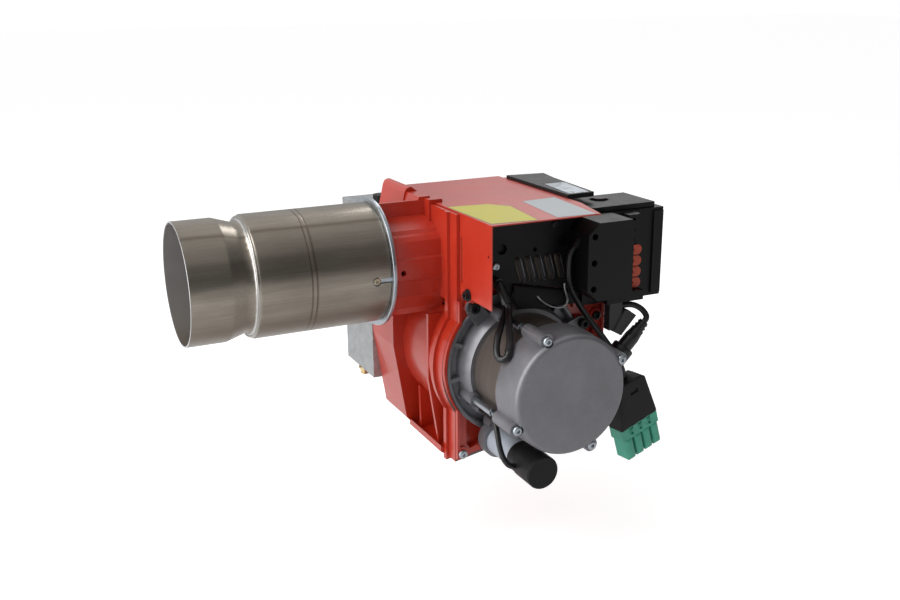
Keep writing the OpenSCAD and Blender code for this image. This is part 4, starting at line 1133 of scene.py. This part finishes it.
@dataclass
class Screws:
    """Every screw that shows, in place of the plain CAD ones.

    Attributes:
        pan: A screw of the motor-side plate.
        small: A screw of the louvred panel.
        long: A through bolt of the motor.
        socket: A bolt that holds the motor.
        button: A screw of the tube.
        fan: X and Z of the fan's axis.
        bolt_circle: Distance of the through bolts from that axis.
        first_bolt: Angle of the first of the four, in degrees.
        bolt_seat: Y of their seats.
        plate_front: Y of the plate's front.
        plate_places: X and Z of the plate's screws.
        panel_front: Y of the panel's front.
        panel_places: X and Z of the panel's screws.
        motor_angles: Angles of the motor's bolts, in degrees.
        motor_bolt_r: Their distance from the fan's axis.
        ear_height: How far their seats are before the plate.
        tube_angle: Angle of the tube's first screw, in degrees.
        tube_in: Distance of the tube screws' seats from its axis.
        keyhole: X of the tube's screws.
    """

    pan: Screw = Screw(head_r=4.5, head_h=3.2, shank_r=2.5, shank_l=16.6, recess_r=1.7, recess_h=1.8,
                       dome=1.6)
    small: Screw = Screw(head_r=3.8, head_h=2.4, shank_r=2.0, shank_l=9.4, recess_r=1.4, recess_h=1.4,
                         dome=1.4)
    long: Screw = Screw(head_r=4.4, head_h=3.4, shank_r=2.5, shank_l=91.4, recess_r=1.8, recess_h=2.2,
                        dome=2.0, thread_l=20.0)
    socket: Screw = Screw(head_r=5.0, head_h=6.0, shank_r=3.0, shank_l=22.6, recess_r=2.7, recess_h=3.4,
                          lobe=0.05)
    button: Screw = Screw(head_r=3.6, head_h=1.3, shank_r=1.95, shank_l=5.1, recess_r=1.35, recess_h=0.8,
                          dome=0.6, thread_l=4.0)
    fan: tuple[float, float] = (112.0, -93.5)
    bolt_circle: float = 58.5
    first_bolt: float = 24.5
    bolt_seat: float = -181.4
    plate_front: float = -84.6
    plate_places: Pairs = ((62, 46), (54, -179.5), (166, 42), (170, -153), (202, -60))
    panel_front: float = -95.0
    panel_places: Pairs = ((83.5, 6.5), (146, 40))
    motor_angles: tuple[float, ...] = (128, 22, 300)
    motor_bolt_r: float = 78.0
    ear_height: float = 3.0
    tube_angle: float = 4.5
    tube_in: float = 56.1
    keyhole: float = -14.0

    def around(self, radius: float, degrees: float, y: float) -> Point:
        """A place on a circle round the fan's axis."""
        angle = math.radians(degrees)
        return self.fan[0] + RING + radius * math.cos(angle), y, self.fan[1] + radius * math.sin(angle)

    def in_tube(self, k: int) -> Grid:
        """One of the tube's three screws, with its head out.

        Args:
            k: Its number.

        Returns:
            Its surface.
        """
        angle = math.radians(self.tube_angle + 120 * k)
        way = (0.0, -math.cos(angle), -math.sin(angle))
        return self.button.at((self.keyhole, self.tube_in * way[1], self.tube_in * way[2]), way)

    def build(self, shop: Workshop) -> None:
        """Build the screws; the plate's last one is black steel as painted shade to the right of the motor,
        and the panel's last one is black.

        Args:
            shop: The workshop.
        """
        plate = [self.pan.at((x + RING, self.plate_front, z)) for x, z in self.plate_places]
        panel = [self.small.at((x + RING, self.panel_front, z)) for x, z in self.panel_places]
        through = [self.long.at(self.around(self.bolt_circle, self.first_bolt + 90 * k, self.bolt_seat))
                   for k in range(4)]
        ear = self.plate_front - self.ear_height
        motor = [self.socket.at(self.around(self.motor_bolt_r, a, ear)) for a in self.motor_angles]
        tube = [self.in_tube(k) for k in range(3)]
        shop.add("plate_screws_zinc", plate[:-1], "zinc", "plate_screws", instead=True)
        # Painted shade: the plate screw right of the motor is black steel in place of zinc.
        shop.add("plate_screw_painted_shade", plate[-1:], "black_steel", "plate_screws")
        shop.add("panel_screw_zinc", panel[:-1], "zinc", "panel_screws", instead=True)
        shop.add("panel_screw_black", panel[-1:], "black_steel", "panel_screws")
        shop.add("through_bolts_pan", through, "zinc", "through_bolts", instead=True)
        shop.add("motor_bolts_socket", motor, "black_steel", "motor_bolts", instead=True)
        shop.add("tube_screws_button", tube, "brass_steel", "tube_screws", instead=True)


# Dress of the tube, the electrics, the plug and the cover


@dataclass
class TubeDress:
    """The raised ring on the tube's shoulder, where the drawn neck ends."""

    radius: float = 54.9
    place: float = -123.2
    half_width: float = 2.2
    height: float = 1.5
    rows: int = 10
    columns: int = 192

    def build(self, shop: Workshop) -> None:
        """Spin a flat ellipse round the tube: r = R + h sin t, s = w cos t.

        Args:
            shop: The workshop.
        """
        turn = np.linspace(0.0, 2 * np.pi, self.rows, endpoint=False)
        profile = [(self.radius + self.height * math.sin(t), self.half_width * math.cos(t), 0.0)
                   for t in turn]
        points = spun(profile, (self.place, 0.0, 0.0), (1.0, 0.0, 0.0), self.columns)
        shop.add("neck_weld", [Grid(points, round_rows=True, caps=False)], "polished", "blast_tube")


@dataclass
class ElectricsDress:
    """Hoods and lower lip of the louvred panel, the lip carried down as a dark sheet for painted shade, and
    the dark board behind its holes.

    Attributes:
        panel: Y of the panel's front.
        first: X of the first hood.
        pitch: Distance between two hoods.
        hoods: Number of hoods.
        rib: The hood's form.
        top: X, from the hood's own place, and Z of its upper end.
        bottom: The same of its lower end.
        lip_and_shade_sheet: Place along X, upper edge and lower edge of each section of the lip; below the
            lip itself it goes on as a dark sheet for painted shade under the panel.
        lip_front: Y of the lip's front and how far it is above the upper edge, from the top down.
        lip_back: The same for its back, from below up.
        board: X and Z of the board's corners.
        board_faces: Y of its front and its back.
    """

    panel: float = -95.0
    first: float = 102.4
    pitch: float = 10.6
    hoods: int = 5
    rib: Rib = Rib(half=3.9, height=2.6, foot=0.3, rounding=(6, 0.01), pinch=(8, 0.05), rows=25, columns=15)
    top: tuple[float, float] = (3.2, 12.6)
    bottom: tuple[float, float] = (10.8, -13.0)
    lip_and_shade_sheet: tuple[Point, ...] = ((101.5, -12.5, -26.0), (104.5, -13.5, -36.5), (125, -17.8, -38.5),
                              (150, -23.0, -39.5), (172, -27.4, -39.0))
    lip_front: Pairs = ((-95.2, 1.0), (-97.6, -0.4), (-98.3, -2.6))
    lip_back: Pairs = ((-97.7, -2.8), (-97.0, -1.0), (-95.2, 0.0))
    board: Pairs = ((77, 47), (77, -11), (83, -11), (90, -22), (100, -22), (103, -11.6), (171.5, -25),
                    (171.5, 47))
    board_faces: tuple[float, float] = (-91.0, -90.4)

    def hood(self, k: int) -> Grid:
        """Hood k of the panel, counted from the left: a leaning rib."""
        start, end = ((self.first + self.pitch * k + x, self.panel, z) for x, z in (self.top, self.bottom))
        return Grid(behind_ring(self.rib.between(start, end)))

    def section(self, x: float, high: float, low: float) -> np.ndarray:
        """One section of the lip: over the fold, down in front and up again behind, reaching down as a dark
        sheet for painted shade.

        Args:
            x: Its place along X.
            high: Z of its upper edge.
            low: Z of its lower edge.

        Returns:
            A row of points.
        """
        front = [(x, y, high + step) for y, step in self.lip_front]
        back = [(x, y, high + step) for y, step in self.lip_back]
        return behind_ring([*front, (*front[-1][:2], low), (*back[0][:2], low), *back])

    def build(self, shop: Workshop) -> None:
        """Build the hoods, the board and the lip.

        Args:
            shop: The workshop.
        """
        hoods = [self.hood(k) for k in range(self.hoods)]
        board = Grid(np.array([behind_ring([(x, y, z) for x, z in self.board]) for y in self.board_faces]))
        lip_and_shade_sheet = Grid(np.array([self.section(*row) for row in self.lip_and_shade_sheet]))
        shop.add("louvre_hoods", hoods, "gloss_plastic", "electrics_panel")
        shop.add("dark_board", [board], "black_plastic", "electrics_panel")
        # Painted shade: the black lip reaches down as a dark sheet where the panel throws shade.
        shop.add("panel_lip_and_shade_sheet", [lip_and_shade_sheet], "black_plastic", "electrics_panel")


@dataclass
class PlugDress:
    """Round fronts of the green insert's prongs and the rims of its three sockets.

    Places are in the plug's own axes, from the middle of its hood's top; hang turns and leans them.

    Attributes:
        top: The middle of the hood's top.
        lean: Degrees that the plug leans about Y.
        turn: Degrees that it turns about Z.
        prongs: X of each prong.
        rib: The form of a prong's front.
        prong_face: Y of the prongs' flat front.
        prong_tip: Z of the rib's lower end.
        prong_root: Z of its upper end.
        sockets: X of each socket.
        socket_face: Y of the sockets' front.
        socket_z: Z of the sockets' middle.
        rim_profile: Radius of each row of a rim, and how far it stands before the sockets' front.
    """

    top: Point = (209.0, -127.0, -114.0)
    lean: float = -15.6
    turn: float = 8.0
    prongs: tuple[float, ...] = (-17.1, -5.7, 5.7, 17.1)
    rib: Rib = Rib(half=4.5, height=2.6, foot=0.4, rounding=(8, 0.02))
    prong_face: float = -8.4
    prong_tip: float = -79.8
    prong_root: float = -57.0
    sockets: tuple[float, ...] = (-11.7, 0.0, 11.7)
    socket_face: float = -9.4
    socket_z: float = -53.0
    rim_profile: Pairs = ((1.7, -0.3), (1.7, 0.7), (2.1, 0.95), (2.7, 0.9), (3.0, 0.6), (3.0, -0.3))

    def hang(self, points: np.ndarray) -> np.ndarray:
        """Move points of the plug into the frame: first the turn about Z, then the lean about Y.

        Args:
            points: The points, in the plug's own axes.

        Returns:
            The points in the frame.
        """
        turn = Matrix.Rotation(math.radians(self.turn), 3, "Z")
        place = Matrix.Rotation(math.radians(self.lean), 3, "Y") @ turn
        return behind_ring(points @ np.array(place).T + np.array(self.top))

    def prong(self, x: float) -> Grid:
        """A half-round rib down one prong's front."""
        start, end = ((x, self.prong_face, z) for z in (self.prong_tip, self.prong_root))
        return Grid(self.hang(self.rib.between(start, end)))

    def rim(self, x: float) -> Grid:
        """A raised rim round one socket.

        Args:
            x: The socket's place along X.

        Returns:
            Its surface.
        """
        profile = [(radius, step, 0.0) for radius, step in self.rim_profile]
        points = spun(profile, (x, self.socket_face, self.socket_z), NEAR, 32)
        return Grid(self.hang(points), round_rows=True, caps=False)

    def build(self, shop: Workshop) -> None:
        """Build the prongs' fronts and the sockets' rims."""
        shop.add("prong_fronts", [self.prong(x) for x in self.prongs], "green_plastic", "plug_insert")
        shop.add("socket_rims", [self.rim(x) for x in self.sockets], "green_plastic", "plug_insert")


@dataclass
class CoverDress:
    """The blank stickers on the cover, each on a dark edge that shows round it.

    Attributes:
        top: Z of the cover's top.
        sunk: How far a sticker reaches into the cover.
        paper: Its thickness above the cover.
        edge: Thickness of the dark edge.
        yellow: X and Y of the yellow sticker's corners.
        yellow_share: Its size inside the edge, as a share.
        grey: X and Y of the grey sticker's corners.
        grey_share: Its size inside the edge, as a share.
    """

    top: float = 57.0
    sunk: float = 0.05
    paper: float = 0.12
    edge: float = 0.06
    yellow: Pairs = ((54.8, -51), (95, -56), (110, -75), (102, -140), (57, -136))
    yellow_share: float = 0.975
    grey: Pairs = ((130, -60), (168, -57), (161, -141.5), (122, -138))
    grey_share: float = 0.985

    def sticker(self, outline: Pairs, share: float, thickness: float) -> Grid:
        """A thin flat plate on the cover's top.

        Args:
            outline: X and Y of its corners.
            share: Factor that scales them about their middle.
            thickness: Its thickness above the cover.

        Returns:
            Its surface.
        """
        middle = np.mean(outline, axis=0)
        flat = middle + (np.array(outline) - middle) * share
        levels = (self.top - self.sunk, self.top + thickness)
        return Grid(np.array([behind_ring([(x, y, z) for x, y in flat]) for z in levels]))

    def build(self, shop: Workshop) -> None:
        """Build the stickers and their edges.

        Args:
            shop: The workshop.
        """
        yellow = self.sticker(self.yellow, self.yellow_share, self.paper)
        grey = self.sticker(self.grey, self.grey_share, self.paper)
        edges = [self.sticker(outline, 1.0, self.edge) for outline in (self.yellow, self.grey)]
        shop.add("yellow_sticker", [yellow], "yellow_paper", "cover")
        shop.add("grey_sticker", [grey], "grey_paper", "cover")
        shop.add("sticker_edges", edges, "grey_plastic", "cover")


# Camera, floor and light


@dataclass
class Camera:
    """The photograph's camera, as fitted to the tube, the ring, the motor and its bolts."""

    place: Point = (-349.515, -911.332, 251.832)
    azimuth: float = -25.553
    elevation: float = 16.668
    roll: float = -0.417
    focal_px: float = 1041.86
    width_px: float = 900.0
    sensor: float = 36.0
    clip_m: tuple[float, float] = (0.01, 50.0)

    def build(self) -> bpy.types.Object:
        """Make the camera and set it as the scene's.

        The view looks from the azimuth and elevation, and its up vector turns about the view by the roll.

        Returns:
            The camera.
        """
        angles = (self.azimuth, self.elevation, self.roll)
        azimuth, elevation, roll = (math.radians(degrees) for degrees in angles)
        flat = math.cos(elevation)
        back = Vector((math.sin(azimuth) * flat, -math.cos(azimuth) * flat, math.sin(elevation)))
        level = (-back).cross(Vector((0, 0, 1))).normalized()
        steep = level.cross(-back)
        right = level * math.cos(roll) + steep * math.sin(roll)
        up = steep * math.cos(roll) - level * math.sin(roll)
        data = bpy.data.cameras.new("camera")
        data.sensor_width = self.sensor
        data.lens = self.focal_px / self.width_px * self.sensor
        data.clip_start, data.clip_end = self.clip_m
        camera = bpy.data.objects.new("camera", data)
        bpy.context.scene.collection.objects.link(camera)
        turn = Matrix((right, up, back)).transposed().to_4x4()
        camera.matrix_world = Matrix.Translation(Vector(self.place) * MM) @ turn
        bpy.context.scene.camera = camera
        return camera


@dataclass(frozen=True)
class Lamp:
    """A square soft lamp.

    Attributes:
        name: Its name.
        place: Where it hangs.
        aim: What it points at.
        side: Its side.
        power: Its power in watts.
    """

    name: str
    place: Point
    aim: Point
    side: float
    power: float

    def hang(self) -> None:
        """Put the lamp at its place, turned to its aim."""
        data = bpy.data.lights.new(self.name, "AREA")
        data.size = self.side * MM
        data.energy = self.power
        lamp = bpy.data.objects.new(self.name, data)
        bpy.context.scene.collection.objects.link(lamp)
        lamp.location = Vector(self.place) * MM
        lamp.rotation_mode = "QUATERNION"
        lamp.rotation_quaternion = (Vector(self.aim) - Vector(self.place)).to_track_quat("-Z", "Y")


@dataclass
class Studio:
    """Pale floor, white surroundings and soft lamps.

    Attributes:
        floor_drop: How far the floor is below the object.
        floor_side: Its side.
        floor_grey: Its grey.
        floor_lift: Light that the camera sees it give off.
        world_level: Factor on the surroundings' light.
        bright_side: Direction that the surroundings' light comes from.
        bright_from: Least and most of the cosine between that direction and a ray.
        bright_to: Light there, before world_level.
    """

    floor_drop: float = 90.0
    floor_side: float = 30000.0
    floor_grey: float = 0.85
    floor_lift: float = 0.5
    world_level: float = 0.5
    bright_side: Point = (-0.55, 0.38, 0.74)
    bright_from: tuple[float, float] = (-0.35, 0.95)
    bright_to: tuple[float, float] = (0.22, 1.6)
    lamps: tuple[Lamp, ...] = (
        Lamp("key_lamp", (-1050, -50, 1100), (60, -40, -40), 900.0, 11.0),
        Lamp("fill_lamp", (-1300, -200, 150), (60, -60, -60), 900.0, 7.5),
        Lamp("back_lamp", (900, 900, 900), (100, 0, -40), 700.0, 5.0),
    )

    def build(self, low: Vector) -> None:
        """Make the floor, the world and the lamps.

        Args:
            low: The object's lowest corner, in metres.
        """
        self.floor(low.z - self.floor_drop * MM)
        self.world()
        for lamp in self.lamps:
            lamp.hang()

    def floor(self, level_m: float) -> None:
        """A wide square floor; the camera sees it lifted to white, with the shadow left on it.

        Args:
            level_m: Its height.
        """
        half = self.floor_side * MM / 2
        mesh = bpy.data.meshes.new("floor")
        mesh.from_pydata([(-half, -half, level_m), (half, -half, level_m), (half, half, level_m),
                          (-half, half, level_m)], [], [(0, 1, 2, 3)])
        floor = bpy.data.objects.new("floor", mesh)
        bpy.context.scene.collection.objects.link(floor)
        graph = Graph("floor_white")
        graph.feed("Base Color", (self.floor_grey, self.floor_grey, self.floor_grey, 1.0))
        graph.feed("Roughness", 0.95)
        graph.feed("Specular IOR Level", 0.1)
        graph.feed("Emission Color", (1.0, 1.0, 1.0, 1.0))
        seen = graph.add("ShaderNodeLightPath").outputs["Is Camera Ray"]
        graph.feed("Emission Strength", graph.spread(seen, 0.0, self.floor_lift, (0.0, 1.0)))
        mesh.materials.append(graph.material)
        floor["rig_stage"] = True

    def world(self) -> None:
        """White for the camera; for the light on the object, bright on one side and dim on the other."""
        world = bpy.data.worlds.new("surroundings")
        bpy.context.scene.world = world
        world.use_nodes = True
        tree = world.node_tree
        tree.nodes.clear()
        output = tree.nodes.new("ShaderNodeOutputWorld")
        white = tree.nodes.new("ShaderNodeBackground")
        white.inputs["Color"].default_value = (1, 1, 1, 1)
        place = tree.nodes.new("ShaderNodeTexCoord")
        side = tree.nodes.new("ShaderNodeVectorMath")
        side.operation = "DOT_PRODUCT"
        side.inputs[1].default_value = self.bright_side
        tree.links.new(place.outputs["Generated"], side.inputs[0])
        height = tree.nodes.new("ShaderNodeMapRange")
        height.interpolation_type = "SMOOTHSTEP"
        ends = zip(("From Min", "From Max", "To Min", "To Max"), self.bright_from + self.bright_to)
        for name, number in ends:
            height.inputs[name].default_value = number
        tree.links.new(side.outputs["Value"], height.inputs["Value"])
        dim = tree.nodes.new("ShaderNodeMath")
        dim.operation = "MULTIPLY"
        dim.inputs[1].default_value = self.world_level
        tree.links.new(height.outputs["Result"], dim.inputs[0])
        path = tree.nodes.new("ShaderNodeLightPath")
        level = tree.nodes.new("ShaderNodeMix")
        tree.links.new(path.outputs["Is Camera Ray"], level.inputs["Factor"])
        tree.links.new(dim.outputs["Value"], level.inputs["A"])
        level.inputs["B"].default_value = 1.0
        tree.links.new(level.outputs["Result"], white.inputs["Strength"])
        tree.links.new(white.outputs["Background"], output.inputs["Surface"])


def main() -> None:
    """Load the frame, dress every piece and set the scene."""
    logging.basicConfig(level=logging.INFO, format="%(name)s: %(message)s")
    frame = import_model()
    cad_low, cad_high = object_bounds()
    shop = Workshop(frame)
    Camera().build()
    Leads().build(shop)
    for node in frame["nodes"]:
        shop.dress(node)
    for dress in (TubeDress(), Screws(), CoverDress(), ElectricsDress(), PlugDress()):
        dress.build(shop)
    Studio().build(cad_low)
    bpy.context.scene.view_settings.view_transform = "Standard"


if __name__ == "__main__":
    main()
